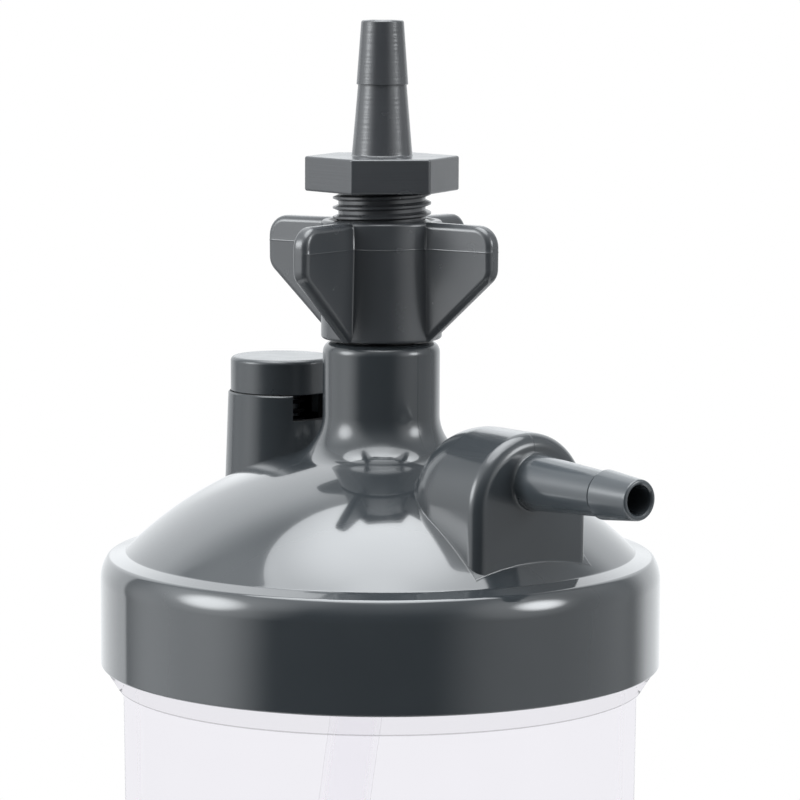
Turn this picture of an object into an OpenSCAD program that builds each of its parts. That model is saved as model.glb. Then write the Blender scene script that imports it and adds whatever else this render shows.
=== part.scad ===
// Humidifier bottle for oxygen therapy: a screw-capped water bottle with a captive
// wing nut and hose adapter on top, an outlet nozzle at one side and a relief valve
// at the other. The origin is the middle of the base, +Z is up, and the outlet
// nozzle points along +X. All sizes are in millimetres.

/* [Bottle] */
// Height from the base to the lower edge of the cap
bottle_h = 125; // [90:1:180]
// Outside diameter just below the collar
bottle_d = 75; // [66:0.5:90]
// Amount by which the outside radius shrinks from the collar to the base
bottle_draft = 1.1; // [0.4:0.1:2]
// Wall thickness
bottle_wall = 2.2; // [1.8:0.1:2.6]
// Thickness of the floor
floor_t = 2.4; // [1.6:0.1:4]
// Radius of the rounded edge round the base
foot_r = 4; // [2.5:0.5:8]
// Amount by which the collar under the cap stands out
collar_out = 2.4; // [0.8:0.1:2.6]
// Depth of the collar's straight side
collar_h = 0.5; // [0.5:0.1:5]
// Height of the cone that leads from the collar to the wall
collar_cone_h = 3.8; // [1:0.1:5]
// Amount by which the threaded mouth is set in from the outside of the bottle
mouth_inset = 0.6; // [0.4:0.1:0.9]
// Height of the lower level line above the base
level_low = 30; // [20:1:45]
// Drop of the upper level line below the cap's lower edge
level_drop = 38; // [20:1:40]
// Height to which a level line stands out
level_out = 0.3; // [0.2:0.1:0.6]

/* [Cap] */
// Wall thickness of the cap's skirt
cap_wall = 2.25; // [1.6:0.05:3]
// Height of the skirt's rim above its lower edge
rim_h = 16.4; // [16:0.1:20]
// Radius of the rim's outer shoulder
rim_round = 3.7; // [2.5:0.1:4.5]
// Height of the dome from its edge to its peak
dome_rise = 15.4; // [11:0.1:20]
// Wall thickness of the dome
dome_wall = 2.3; // [1.8:0.1:3]
// Height of the seat for the gasket above the skirt's lower edge
seat_h = 14.2; // [13.4:0.1:14.4]
// Gap between the skirt's lower edge and the bottle's collar
skirt_gap = 0.3; // [0.2:0.05:0.6]

/* [Cap thread] */
// Pitch of the thread between the bottle and the cap
cap_pitch = 4; // [3:0.1:4.5]
// Height of the thread's ridge
cap_ridge = 1.1; // [0.8:0.1:1.4]
// Turns of thread on the bottle and in the cap
cap_turns = 1.25; // [1:0.05:1.5]
// Clearance from each ridge to the wall it faces
cap_ridge_gap = 0.5; // [0.3:0.05:0.8]
// Width of a ridge at its root, as a share of the pitch
cap_root_share = 0.45; // [0.35:0.01:0.5]
// Width of a ridge at its crest, as a share of the pitch
cap_crest_share = 0.2; // [0.1:0.01:0.3]
// Height of the first ridge in the cap above the skirt's lower edge
cap_ridge_z = 2; // [1.5:0.1:2.5]
// Thickness of the gasket
gasket_t = 2; // [1:0.1:3]
// Clearance of the gasket from the skirt and from the bottle's bore
gasket_gap = 0.3; // [0.2:0.05:0.5]

/* [Neck and inlet stem] */
// Outside diameter of the neck
neck_d = 17; // [15:0.1:20]
// Height of the neck above the dome's peak
neck_rise = 15.2; // [12:0.1:20]
// Radius of the flare between the neck and the dome
flare_r = 6.5; // [3:0.1:8]
// Radius of the neck's top edge
neck_edge = 0.9; // [0.4:0.1:1.5]
// Diameter of the stem that is pressed into the neck
stem_d = 10; // [9.4:0.1:10.6]
// Thickness left in the neck below the stem
shoulder_t = 3.5; // [2:0.1:5]
// Diameter of the gas way through the stem
stem_bore = 3.6; // [2.5:0.1:4]
// Diameter of the flange that holds the nut
flange_d = 12.6; // [12:0.1:12.7]
// Thickness of the flange
flange_t = 2.3; // [1.5:0.1:3]
// Diameter of the stem's nose
nose_d = 4.8; // [4.6:0.1:5.2]
// Height of the nose above the flange
nose_h = 3; // [2:0.1:4]
// Radial clearance of the nose in the hose adapter
nose_gap = 0.3; // [0.2:0.05:0.4]
// Diameter of the spigot for the dip tube
spigot_d = 5.5; // [5:0.1:6.5]
// Length of the spigot below the stem's shoulder
spigot_l = 12; // [10:0.5:16]
// Section diameter of the stem's O-ring
ring_d = 1.6; // [1:0.1:2]
// Height of the O-ring's groove above the stem's shoulder
ring_z = 4; // [2:0.5:8]
// Thickness of the sealing washer on the flange
washer_t = 1.2; // [0.8:0.1:2]

/* [Wing nut] */
// Height of the nut
nut_h = 17.2; // [15:0.1:20]
// Diameter of the nut's hub
hub_d = 17.5; // [17:0.1:20]
// Thickness of the lip that the flange holds down
lip_t = 2.5; // [1.5:0.1:3]
// Gap between the nut and the neck below it
nut_gap = 0.35; // [0.3:0.05:0.8]
// Play of the nut's lip under the flange
lip_play = 0.25; // [0.1:0.05:0.5]
// Radial running clearance between the lip and the stem
lip_run = 0.08; // [0.04:0.01:0.1]
// Number of wings
wing_count = 4; // [2:1:6]
// Radius from the nut's axis to the wing tips
wing_r = 19.9; // [15:0.1:24]
// Thickness of a wing
wing_t = 2.7; // [2:0.1:4]
// Radius of a wing's upper corner
wing_round = 3; // [1:0.1:4]
// Height of a wing's straight tip
wing_tip_h = 7.3; // [5:0.1:8]
// Drop of a wing's upper edge from the hub to the tip
wing_drop = 0.1; // [0:0.1:1]
// Turn of the first wing from +X
wing_angle = 15.7; // [0:0.1:90]

/* [Hose adapter] */
// Outside diameter of the adapter's thread
thread_d = 14.2; // [14:0.05:14.4]
// Pitch of the thread, 18 turns to the inch
thread_pitch = 1.411; // [1.2:0.001:1.5]
// Height of the thread's ridge
thread_ridge = 0.8; // [0.7:0.01:0.84]
// Radial clearance from each ridge to the wall it faces
thread_gap = 0.18; // [0.1:0.01:0.2]
// Width of a ridge at its root, as a share of the pitch
root_share = 0.78; // [0.6:0.01:0.8]
// Width of a ridge at its crest, as a share of the pitch
crest_share = 0.18; // [0.1:0.01:0.2]
// Length of thread that shows between the nut and the hex
thread_shown = 4.2; // [3:0.1:6]
// Height of the hex
hex_h = 5; // [4:0.1:7]
// Width of the hex across its flats
hex_w = 19.5; // [17:0.1:22]
// Turn of the first corner of the hex from +X
hex_angle = -1; // [-30:0.5:30]
// Length of the nozzle above the hex
nozzle_l = 19.45; // [14:0.05:26]
// Diameter of the nozzle at the hex
nozzle_root_d = 8.7; // [7.8:0.1:10]
// Diameter of the nozzle below its barb
nozzle_neck_d = 7.08; // [6.4:0.02:7.3]
// Diameter of the barb's straight land
nozzle_land_d = 7.44; // [6.8:0.02:8]
// Diameter of the nozzle's tip
nozzle_tip_d = 6.16; // [5.4:0.02:6.6]
// Length from the barb's lower edge to the tip
nozzle_barb_l = 9.2; // [6:0.1:12]
// Length of the barb's straight land
nozzle_land_l = 2; // [1:0.1:3]
// Diameter of the gas way through the adapter
nozzle_bore = 4.1; // [3:0.1:4.4]

/* [Outlet] */
// Distance from the dome's edge in to the face of the outlet housing
face_inset = 2.79; // [2.45:0.01:4]
// Width of the housing
housing_w = 20.7; // [18:0.1:21.4]
// Length of the housing's straight part behind its face
housing_l = 9.8; // [6:0.1:10]
// Height of the housing's crown above the dome's peak
crown_rise = 5.1; // [3:0.1:8]
// Radius of the edge round the housing's face
face_round = 2; // [1:0.1:2.4]
// Wall thickness of the housing
housing_wall = 2.2; // [1.6:0.1:2.8]
// Distance from the housing's crown down to the axis of the outlet nozzle
outlet_drop = 6.7; // [6.4:0.1:8]
// Length of the outlet nozzle from the face
outlet_l = 21.7; // [16:0.1:28]
// Diameter of the outlet nozzle at the face
outlet_root_d = 7.9; // [7:0.1:9]
// Diameter of the outlet nozzle behind its barb
outlet_neck_d = 6.4; // [6:0.1:6.6]
// Diameter of the outlet barb's straight land
outlet_land_d = 6.72; // [6.4:0.02:7.4]
// Diameter of the outlet nozzle's tip
outlet_tip_d = 5.64; // [5.2:0.02:6]
// Length from the barb's inner edge to the tip
outlet_barb_l = 6.8; // [5:0.1:9]
// Length of the barb's straight land
outlet_land_l = 1.5; // [1:0.1:2.5]
// Diameter of the gas way through the outlet nozzle
outlet_bore = 4.24; // [3.4:0.02:4.6]
// Radius of the ring round the foot of the outlet nozzle
outlet_foot = 0.5; // [0.3:0.1:0.8]

/* [Relief valve] */
// Distance from the dome's edge in to the tower's axis
tower_inset = 13.05; // [12:0.05:14.5]
// Diameter of the tower at its top
tower_d = 16.2; // [15.6:0.1:17]
// Amount by which the tower's radius grows downwards
tower_draft = 0.8; // [0.2:0.1:1.4]
// Height of the tower's top above the dome's peak
tower_rise = 5.7; // [5:0.1:9]
// Bore of the tower
tower_bore = 12.2; // [11.4:0.1:12.8]
// Thickness of the tower's floor at its thinnest
tower_floor = 2.1; // [1.6:0.1:3]
// Angle of the window in the tower's wall
window_angle = 51; // [40:1:90]
// Height of the window
window_h = 3.8; // [2.5:0.1:4.5]
// Diameter of the tower's lid
lid_d = 15.46; // [14.4:0.02:16]
// Height of the lid above the tower
lid_h = 5.2; // [4:0.1:7]
// Thickness of the lid's top
lid_t = 2; // [1.5:0.1:3]
// Wall thickness of the lid's plug
plug_wall = 1.1; // [0.8:0.1:1.4]
// Depth of the lid's plug in the tower
plug_l = 3; // [2:0.1:3.4]
// Diameter of the hole in the valve's seat
seat_bore = 4.8; // [3:0.1:5.4]
// Width of the valve's raised seat
seat_w = 1; // [0.6:0.1:1.4]
// Height of the valve's raised seat
seat_rise = 0.8; // [0.4:0.1:1.2]
// Thickness of the rubber seal under the poppet
seal_t = 1; // [0.6:0.1:1.4]
// Diameter of the rubber seal
seal_d = 8.4; // [7.6:0.1:9]
// Diameter of the poppet
poppet_d = 9.4; // [9.2:0.1:9.6]
// Thickness of the poppet
poppet_t = 1.6; // [1:0.1:1.8]
// Diameter of the poppet's guide pin
guide_d = 3.2; // [2.4:0.1:3.4]
// Radial running clearance of the guide pin
guide_run = 0.08; // [0.04:0.01:0.1]
// Wall thickness of the guide in the lid
guide_wall = 1; // [0.7:0.1:1.1]
// Lift of the poppet when the valve is wide open
relief_lift = 2; // [1:0.1:2]
// Gap left above the poppet when the valve is wide open
stop_gap = 0.3; // [0.2:0.05:0.5]
// Wire diameter of the relief spring
wire_d = 0.6; // [0.4:0.05:0.65]
// Mean diameter of the relief spring
coil_d = 7; // [6.6:0.1:7.4]
// Turns of the relief spring
coil_turns = 6; // [4:1:6]

/* [Dip tube] */
// Outside diameter of the dip tube
tube_d = 7.6; // [7.2:0.1:9]
// Gap between the dip tube's top and the dome
tube_top_gap = 0.6; // [0.3:0.1:2]
// Angle by which the tube leans from upright
tube_lean = 7.5; // [0.5:0.5:10]
// Direction of the lean from +X
tube_azimuth = 231.7; // [0:0.1:360]
// Radius of the bend below the spigot
tube_bend_r = 40; // [20:1:80]
// Diameter of the porous diffuser at the tube's end
diffuser_d = 12; // [10.5:0.5:18]
// Length of the diffuser
diffuser_l = 16; // [12:0.5:24]
// Depth to which the tube goes into the diffuser
diffuser_hold = 8; // [5:0.5:9]
// Height of the diffuser's lower end above the floor
diffuser_clear = 8; // [4:0.5:20]

/* [Fits] */
// Radial clearance left between pieces that are pressed together
press_gap = 0.02; // [0.01:0.01:0.05]
// Clearance round pieces that lie loosely in a seat
loose_gap = 0.1; // [0.05:0.01:0.2]

/* [Hidden] */
$fn = 96;
dark_grey = [0.30, 0.32, 0.33];
mid_grey = [0.36, 0.38, 0.39];
// Overshoot of cuts, so that they leave no skin
cut = 1;
// Swell of the dip tube in its bend, and length to which the straight parts run into the bend
bend_swell = 0.05;
bend_lap = 0.5;
// Points on a quarter of a drawn arc
arc_steps = 12;
// Sections in one turn of the cap's thread and of the adapter's thread
cap_steps = 48;
thread_steps = 24;
// Steps by which a ridge has already risen where it begins
fade_start = 0.1;
// Sections in one turn of the spring, and sides of its wire
curl_rings = 8;
wire_sides = 6;

// Bottle
bottle_r = bottle_d / 2;
base_r = bottle_r - bottle_draft;
collar_r = bottle_r + collar_out;
collar_top = bottle_h - skirt_gap;
collar_low = collar_top - collar_h;
wall_top = collar_low - collar_cone_h;
bore_top_r = bottle_r - bottle_wall;
bore_base_r = base_r - bottle_wall;
mouth_r = bottle_r - mouth_inset;
mouth_top = bottle_h + seat_h - gasket_t;

// Cap
skirt_r = mouth_r + cap_ridge + cap_ridge_gap;
cap_r = skirt_r + cap_wall;
rim_top = bottle_h + rim_h;
seat_z = bottle_h + seat_h;
valley_r = cap_r - rim_round;
valley_z = rim_top;
peak_z = valley_z + dome_rise;
dome_r = (valley_r * valley_r + dome_rise * dome_rise) / (2 * dome_rise);
dome_z = peak_z - dome_r;
gasket_out_r = skirt_r - gasket_gap;
gasket_in_r = bore_top_r - gasket_gap;
seat_in_r = gasket_in_r - gasket_gap;
under_z = peak_z - dome_wall;
under_rise = under_z - seat_z;
under_r = (seat_in_r * seat_in_r + under_rise * under_rise) / (2 * under_rise);
under_centre_z = under_z - under_r;

// Cap thread: one ridge climbs the mouth and the other climbs the skirt, half a pitch lower
cap_ridge_root = cap_pitch * cap_root_share;
cap_ridge_crest = cap_pitch * cap_crest_share;
cap_helix_z = bottle_h + cap_ridge_z;
mouth_helix_z = cap_helix_z + cap_pitch / 2;

// Neck and stem
neck_r = neck_d / 2;
neck_top = peak_z + neck_rise;
flare_z = dome_z + sqrt(pow(dome_r + flare_r, 2) - pow(neck_r + flare_r, 2));
flare_angle = atan2(flare_z - dome_z, neck_r + flare_r);
valley_angle = atan2(valley_z - dome_z, valley_r);
stem_r = stem_d / 2;
shoulder_z = under_z + shoulder_t;
spigot_r = spigot_d / 2;
spigot_end = shoulder_z - spigot_l;
nut_z = neck_top + nut_gap;
flange_z = nut_z + lip_t + lip_play;
flange_top = flange_z + flange_t;
washer_top = flange_top + washer_t;
ring_r = stem_r - ring_d / 2;

// Wing nut and hose adapter
nut_top = nut_z + nut_h;
thread_r = thread_d / 2;
core_r = thread_r - thread_ridge;
nut_bore_r = thread_r + thread_gap;
nut_ridge_r = core_r + thread_gap;
hex_z = nut_top + thread_shown;
hex_top = hex_z + hex_h;
nozzle_top = hex_top + nozzle_l;
ridge_root_w = thread_pitch * root_share;
ridge_crest_w = thread_pitch * crest_share;
// First ridge of the adapter, one pitch above its lower end, and the nut's ridge half a pitch lower
adapter_helix_z = washer_top + thread_pitch;
nut_helix_z = adapter_helix_z - thread_pitch / 2;
adapter_helix_turns = turns_in(hex_z - adapter_helix_z, thread_pitch);
nut_helix_turns = turns_in(nut_top - nut_helix_z, thread_pitch);

// Outlet
face_x = valley_r - face_inset;
crown_z = peak_z + crown_rise;
arch_r = housing_w / 2;
arch_z = crown_z - arch_r;
outlet_z = crown_z - outlet_drop;
housing_inner_r = arch_r - housing_wall;
housing_back = face_x - housing_l;

// Relief valve
tower_x = valley_r - tower_inset;
tower_r = tower_d / 2;
tower_top = peak_z + tower_rise;
tower_bore_r = tower_bore / 2;
tower_near = tower_x - tower_bore_r;
tower_floor_z = under_centre_z + sqrt(under_r * under_r - tower_near * tower_near) + tower_floor;
seat_top = tower_floor_z + seat_rise;
seal_top = seat_top + seal_t;
poppet_top = seal_top + poppet_t;
lid_top = tower_top + lid_h;
ceiling_z = lid_top - lid_t;
plug_r = tower_bore_r - press_gap;
plug_in_r = plug_r - plug_wall;
window_z = tower_top - window_h;
guide_r = guide_d / 2;
guide_low = poppet_top + relief_lift + stop_gap;
guide_top = ceiling_z - relief_lift - stop_gap;
guide_in_r = guide_r + guide_run;

// Dip tube
tube_r = tube_d / 2;
tube_in_r = spigot_r + press_gap;
tube_top = under_z - tube_top_gap;
bend_z = spigot_end;
bend_drop = tube_bend_r * sin(tube_lean);
bend_shift = tube_bend_r * (1 - cos(tube_lean));
diffuser_r = diffuser_d / 2;
diffuser_end_z = floor_t + diffuser_clear + diffuser_r * sin(tube_lean);
lean_run = (bend_z - bend_drop - diffuser_end_z) / cos(tube_lean);
tube_run = lean_run - diffuser_l + diffuser_hold;

// Points along an arc about a centre, from one angle to another
function arc(centre, radius, from, to, steps = arc_steps) =
    [for (i = [0:steps]) let (a = from + (to - from) * i / steps) centre + radius * [cos(a), sin(a)]];

// Turns of thread that fit into a length, in whole quarters and half a turn short of its end
function turns_in(length, pitch) = floor(4 * (length / pitch - 0.5)) / 4;

// A point on a helix: radius and height turned to an angle
function turned(point, angle) = [point[0] * cos(angle), point[0] * sin(angle), point[1]];

// A skin of triangles over a row of rings that have the same number of points
module skin(rings) {
    count = len(rings);
    sides = len(rings[0]);
    last = (count - 1) * sides;
    walls = [for (i = [0:count - 2]) for (j = [0:sides - 1])
        let (a = i * sides + j, b = i * sides + (j + 1) % sides)
        each [[a, b, b + sides], [a, b + sides, a + sides]]];
    ends = [for (j = [1:sides - 2]) each [[0, j + 1, j], [last, last + j, last + j + 1]]];
    polyhedron(points = [for (ring = rings) each ring], faces = concat(walls, ends), convexity = 10);
}

// A right-handed helical ridge that fades in and out over a quarter of a turn at its ends.
// The root radius lies inside the wall that carries the ridge.
module ridge(root_r, crest_r, root_w, crest_w, pitch, turns, steps) {
    count = round(turns * steps);
    fade = steps / 4;
    rings = [for (i = [0:count])
        let (rise = min(1, (fade_start + i) / fade, (fade_start + count - i) / fade),
            top_r = root_r + (crest_r - root_r) * rise,
            top_w = root_w + (crest_w - root_w) * rise,
            z = pitch * i / steps,
            angle = 360 * i / steps)
        [turned([root_r, z - root_w / 2], angle), turned([top_r, z - top_w / 2], angle),
            turned([top_r, z + top_w / 2], angle), turned([root_r, z + root_w / 2], angle)]];
    // An outward ridge and an inward one run round their section in opposite ways
    skin(crest_r > root_r ? rings : [for (ring = rings) [ring[3], ring[2], ring[1], ring[0]]]);
}

// A solid of revolution of an outline given as radius and height
module turning(outline) {
    rotate_extrude() polygon(outline);
}

// A tapered nozzle along +Z with one barb, from its root to its tip
module nozzle(root_d, neck_d, land_d, tip_d, length, barb_l, land_l) {
    turning([[0, 0], [root_d / 2, 0], [neck_d / 2, length - barb_l], [land_d / 2, length - barb_l],
        [land_d / 2, length - barb_l + land_l], [tip_d / 2, length], [0, length]]);
}

// The arched block behind the outlet: a rounded back, straight sides and a face with a rounded edge
module housing_block(half_w, to_x, round_r) {
    outline = concat(
        arc([0, housing_back], half_w, -90, 0),
        arc([half_w - round_r, to_x - round_r], round_r, 0, 90),
        [[0, to_x]]);
    translate([0, 0, arch_z])
        rotate([90, 0, 90]) {
            rotate_extrude(angle = 180) polygon(outline);
            rotate([90, 0, 0])
                linear_extrude(arch_z - seat_z)
                    union() {
                        polygon(outline);
                        mirror([1, 0]) polygon(outline);
                    }
        }
}

// A wedge of the tower's wall that faces the neck
module window_wedge(in_r, out_r, from_z, to_z) {
    translate([-tower_x, 0, from_z])
        rotate([0, 0, -window_angle / 2])
            rotate_extrude(angle = window_angle)
                translate([in_r, 0]) square([out_r - in_r, to_z - from_z]);
}

module bottle() {
    color([0.93, 0.93, 0.96, 0.5]) {
        difference() {
            turning(concat(
                [[0, 0]],
                arc([base_r - foot_r, foot_r], foot_r, -90, 0),
                [[bottle_r, wall_top], [collar_r, collar_low], [collar_r, collar_top],
                    [mouth_r, collar_top], [mouth_r, mouth_top], [0, mouth_top]]));
            turning(concat(
                [[0, floor_t]],
                arc([bore_base_r - foot_r + bottle_wall, floor_t + foot_r - bottle_wall],
                    foot_r - bottle_wall, -90, 0),
                [[bore_top_r, wall_top], [bore_top_r, mouth_top + cut], [0, mouth_top + cut]]));
        }
        for (z = [level_low, bottle_h - level_drop]) {
            wall_r = base_r + bottle_draft * z / wall_top;
            turning([[wall_r - level_out, z - 2 * level_out], [wall_r + level_out, z - level_out / 2],
                [wall_r + level_out, z + level_out / 2], [wall_r - level_out, z + 2 * level_out]]);
        }
        translate([0, 0, mouth_helix_z])
            ridge(mouth_r - cap_ridge_gap, mouth_r + cap_ridge, cap_ridge_root, cap_ridge_crest,
                cap_pitch, cap_turns, cap_steps);
    }
}

module cap_shell() {
    difference() {
        union() {
            turning(concat(
                [[0, bottle_h], [cap_r, bottle_h]],
                arc([cap_r - rim_round, rim_top - rim_round], rim_round, 0, 90),
                arc([0, dome_z], dome_r, valley_angle, flare_angle, 2 * arc_steps),
                arc([neck_r + flare_r, flare_z], flare_r, 180 + flare_angle, 180),
                arc([neck_r - neck_edge, neck_top - neck_edge], neck_edge, 0, 90),
                [[0, neck_top]]));
            housing_block(arch_r, face_x, face_round);
            translate([-tower_x, 0, seat_z])
                cylinder(h = tower_top - seat_z, r1 = tower_r + tower_draft, r2 = tower_r);
            translate([face_x, 0, outlet_z])
                rotate([0, 90, 0]) {
                    nozzle(outlet_root_d, outlet_neck_d, outlet_land_d, outlet_tip_d, outlet_l,
                        outlet_barb_l, outlet_land_l);
                    cylinder(h = outlet_foot, d1 = outlet_root_d + 2 * outlet_foot, d2 = outlet_root_d);
                }
        }
        turning(concat(
            [[0, bottle_h - cut], [skirt_r, bottle_h - cut], [skirt_r, seat_z]],
            arc([0, under_centre_z], under_r, atan2(seat_z - under_centre_z, seat_in_r), 90, 2 * arc_steps)));
    }
}

module cap() {
    color(dark_grey) {
        difference() {
            cap_shell();
            // Hollow of the housing, open to the dome below it
            housing_block(housing_inner_r, face_x - housing_wall, face_round / 2);
            translate([face_x - housing_wall - cut, 0, outlet_z])
                rotate([0, 90, 0])
                    cylinder(h = outlet_l + housing_wall + 2 * cut, d = outlet_bore);
            // Stepped way down the neck for the stem and its spigot
            translate([0, 0, shoulder_z])
                cylinder(h = neck_top - shoulder_z + cut, r = stem_r + press_gap);
            translate([0, 0, under_z - cut])
                cylinder(h = shoulder_z - under_z + 2 * cut, r = spigot_r + press_gap);
            // Valve chamber, vent hole and window of the relief tower
            translate([-tower_x, 0, tower_floor_z])
                difference() {
                    cylinder(h = lid_h + tower_top - tower_floor_z, r = tower_bore_r);
                    translate([0, 0, -cut])
                        cylinder(h = seat_rise + cut, d = seat_bore + 2 * seat_w);
                }
            translate([-tower_x, 0, seat_z])
                cylinder(h = seat_top - seat_z + cut, d = seat_bore);
            window_wedge(tower_bore_r - cut, tower_r + tower_draft + cut, window_z, tower_top + cut);
        }
        translate([0, 0, cap_helix_z])
            ridge(skirt_r + cap_ridge_gap, mouth_r + cap_ridge_gap, cap_ridge_root, cap_ridge_crest,
                cap_pitch, cap_turns, cap_steps);
    }
}

module cap_gasket() {
    color([0.86, 0.86, 0.84])
        translate([0, 0, mouth_top])
            difference() {
                cylinder(h = gasket_t, r = gasket_out_r);
                translate([0, 0, -cut]) cylinder(h = gasket_t + 2 * cut, r = gasket_in_r);
            }
}

module inlet_stem() {
    groove_h = ring_d + 2 * loose_gap;
    color(mid_grey)
        difference() {
            turning([[0, spigot_end], [spigot_r, spigot_end], [spigot_r, shoulder_z],
                [stem_r, shoulder_z], [stem_r, flange_z], [flange_d / 2, flange_z],
                [flange_d / 2, flange_top], [nose_d / 2, flange_top], [nose_d / 2, flange_top + nose_h],
                [0, flange_top + nose_h]]);
            translate([0, 0, spigot_end - cut])
                cylinder(h = flange_top + nose_h - spigot_end + 2 * cut, d = stem_bore);
            translate([0, 0, shoulder_z + ring_z])
                difference() {
                    cylinder(h = groove_h, r = stem_r + cut);
                    translate([0, 0, -cut])
                        cylinder(h = groove_h + 2 * cut, r = stem_r - ring_d - press_gap);
                }
        }
}

module stem_o_ring() {
    color([0.15, 0.15, 0.15])
        translate([0, 0, shoulder_z + ring_z + loose_gap + ring_d / 2])
            rotate_extrude() translate([ring_r, 0]) circle(d = ring_d);
}

module seal_washer() {
    color([0.86, 0.86, 0.84])
        translate([0, 0, flange_top])
            difference() {
                cylinder(h = washer_t, d = flange_d - 2 * loose_gap);
                translate([0, 0, -cut]) cylinder(h = washer_t + 2 * cut, d = nose_d + 2 * loose_gap);
            }
}

// Outline of a wing, as distance from the axis and height, from the middle of the hub's wall outwards
module wing_outline() {
    tip_top = nut_h - wing_drop;
    root = (hub_d / 2 + nut_bore_r) / 2;
    polygon(concat(
        [[root, 0], [hub_d / 2, 0], [wing_r, tip_top - wing_tip_h]],
        arc([wing_r - wing_round, tip_top - wing_round], wing_round, 0, 90),
        [[hub_d / 2, nut_h], [root, nut_h]]));
}

module wing_nut() {
    color(mid_grey)
        translate([0, 0, nut_z]) {
            difference() {
                union() {
                    cylinder(h = nut_h, d = hub_d);
                    for (i = [0:wing_count - 1])
                        rotate([90, 0, wing_angle + 360 * i / wing_count])
                            linear_extrude(wing_t, center = true) wing_outline();
                }
                translate([0, 0, -cut]) cylinder(h = nut_h, r = stem_r + lip_run);
                translate([0, 0, lip_t]) cylinder(h = nut_h, r = nut_bore_r);
            }
            translate([0, 0, nut_helix_z - nut_z])
                ridge(nut_bore_r + thread_gap, nut_ridge_r, ridge_root_w, ridge_crest_w,
                    thread_pitch, nut_helix_turns, thread_steps);
        }
}

module hose_adapter() {
    socket_d = nose_d + 2 * nose_gap;
    color(mid_grey)
        difference() {
            union() {
                translate([0, 0, washer_top]) cylinder(h = hex_z - washer_top + cut, r = core_r);
                translate([0, 0, adapter_helix_z])
                    ridge(core_r - thread_gap, thread_r, ridge_root_w, ridge_crest_w,
                        thread_pitch, adapter_helix_turns, thread_steps);
                translate([0, 0, hex_z])
                    rotate([0, 0, hex_angle]) cylinder(h = hex_h, d = hex_w / cos(30), $fn = 6);
                translate([0, 0, hex_top])
                    nozzle(nozzle_root_d, nozzle_neck_d, nozzle_land_d, nozzle_tip_d, nozzle_l,
                        nozzle_barb_l, nozzle_land_l);
            }
            translate([0, 0, washer_top - cut])
                cylinder(h = nozzle_top - washer_top + 2 * cut, d = nozzle_bore);
            translate([0, 0, washer_top - cut])
                cylinder(h = nose_h - washer_t + loose_gap + cut, d = socket_d);
        }
}

module relief_lid() {
    color(dark_grey)
        difference() {
            translate([-tower_x, 0, 0])
                difference() {
                    turning([[0, tower_top - plug_l], [plug_r, tower_top - plug_l], [plug_r, tower_top],
                        [lid_d / 2, tower_top], [lid_d / 2, lid_top], [0, lid_top]]);
                    turning([[guide_in_r + guide_wall, guide_low], [guide_in_r + guide_wall, ceiling_z],
                        [plug_in_r, ceiling_z], [plug_in_r, tower_top - plug_l - cut],
                        [0, tower_top - plug_l - cut], [0, guide_low]]);
                    translate([0, 0, guide_low - cut])
                        cylinder(h = ceiling_z - guide_low + cut, r = guide_in_r);
                }
            window_wedge(guide_in_r + guide_wall, plug_r + cut, tower_top - plug_l - cut, tower_top);
        }
}

module relief_spring() {
    low = poppet_top + wire_d / 2;
    high = ceiling_z - wire_d / 2;
    count = coil_turns * curl_rings;
    path = [for (i = [0:count]) turned([coil_d / 2, low + (high - low) * i / count], 360 * i / curl_rings)];
    slope = atan2((high - low) / coil_turns, PI * coil_d);
    rings = [for (i = [0:count])
        let (angle = 360 * i / curl_rings,
            out = [cos(angle), sin(angle), 0],
            up = [sin(angle) * sin(slope), -cos(angle) * sin(slope), cos(slope)])
        [for (j = [0:wire_sides - 1])
            let (turn = 360 * j / wire_sides)
            path[i] + wire_d / 2 * (cos(turn) * out + sin(turn) * up)]];
    gaps = [for (i = [0:count - curl_rings]) norm(path[i + curl_rings] - path[i]) - wire_d];
    echo(least_spring_gap = min(gaps));
    color([0.75, 0.75, 0.77])
        translate([-tower_x, 0, 0]) skin(rings);
}

module relief_poppet() {
    color([0.9, 0.9, 0.88])
        translate([-tower_x, 0, 0]) {
            translate([0, 0, seal_top]) cylinder(h = poppet_t, d = poppet_d);
            translate([0, 0, poppet_top]) cylinder(h = guide_top - poppet_top, r = guide_r);
        }
}

module relief_seal() {
    color([0.2, 0.2, 0.2])
        translate([-tower_x, 0, seat_top]) cylinder(h = seal_t, d = seal_d);
}

// The dip tube's course as a solid rod: upright at the top, then a bend and a straight lean
module tube_rod(radius, top, run) {
    rotate([0, 0, tube_azimuth]) {
        translate([0, 0, bend_z - bend_lap]) cylinder(h = top - bend_z + bend_lap, r = radius);
        translate([tube_bend_r, 0, bend_z])
            rotate([90, 0, 0])
                rotate([0, 0, 180])
                    rotate_extrude(angle = tube_lean) translate([tube_bend_r, 0]) circle(r = radius + bend_swell);
        translate([bend_shift, 0, bend_z - bend_drop])
            rotate([0, 180 - tube_lean, 0])
                translate([0, 0, -bend_lap]) cylinder(h = run + bend_lap, r = radius);
    }
}

module dip_tube() {
    color([0.95, 0.95, 0.97, 0.6])
        difference() {
            tube_rod(tube_r, tube_top, tube_run);
            tube_rod(tube_in_r, tube_top + cut, tube_run + cut);
        }
}

module bubble_diffuser() {
    color([0.92, 0.92, 0.9])
        rotate([0, 0, tube_azimuth])
            translate([bend_shift, 0, bend_z - bend_drop])
                rotate([0, 180 - tube_lean, 0])
                    difference() {
                        translate([0, 0, tube_run - diffuser_hold]) cylinder(h = diffuser_l, r = diffuser_r);
                        translate([0, 0, tube_run - diffuser_hold - cut])
                            cylinder(h = diffuser_hold + cut, r = tube_r + press_gap);
                    }
}

bottle();
cap();
cap_gasket();
inlet_stem();
stem_o_ring();
seal_washer();
wing_nut();
hose_adapter();
relief_lid();
relief_spring();
relief_poppet();
relief_seal();
dip_tube();
bubble_diffuser();
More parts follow.
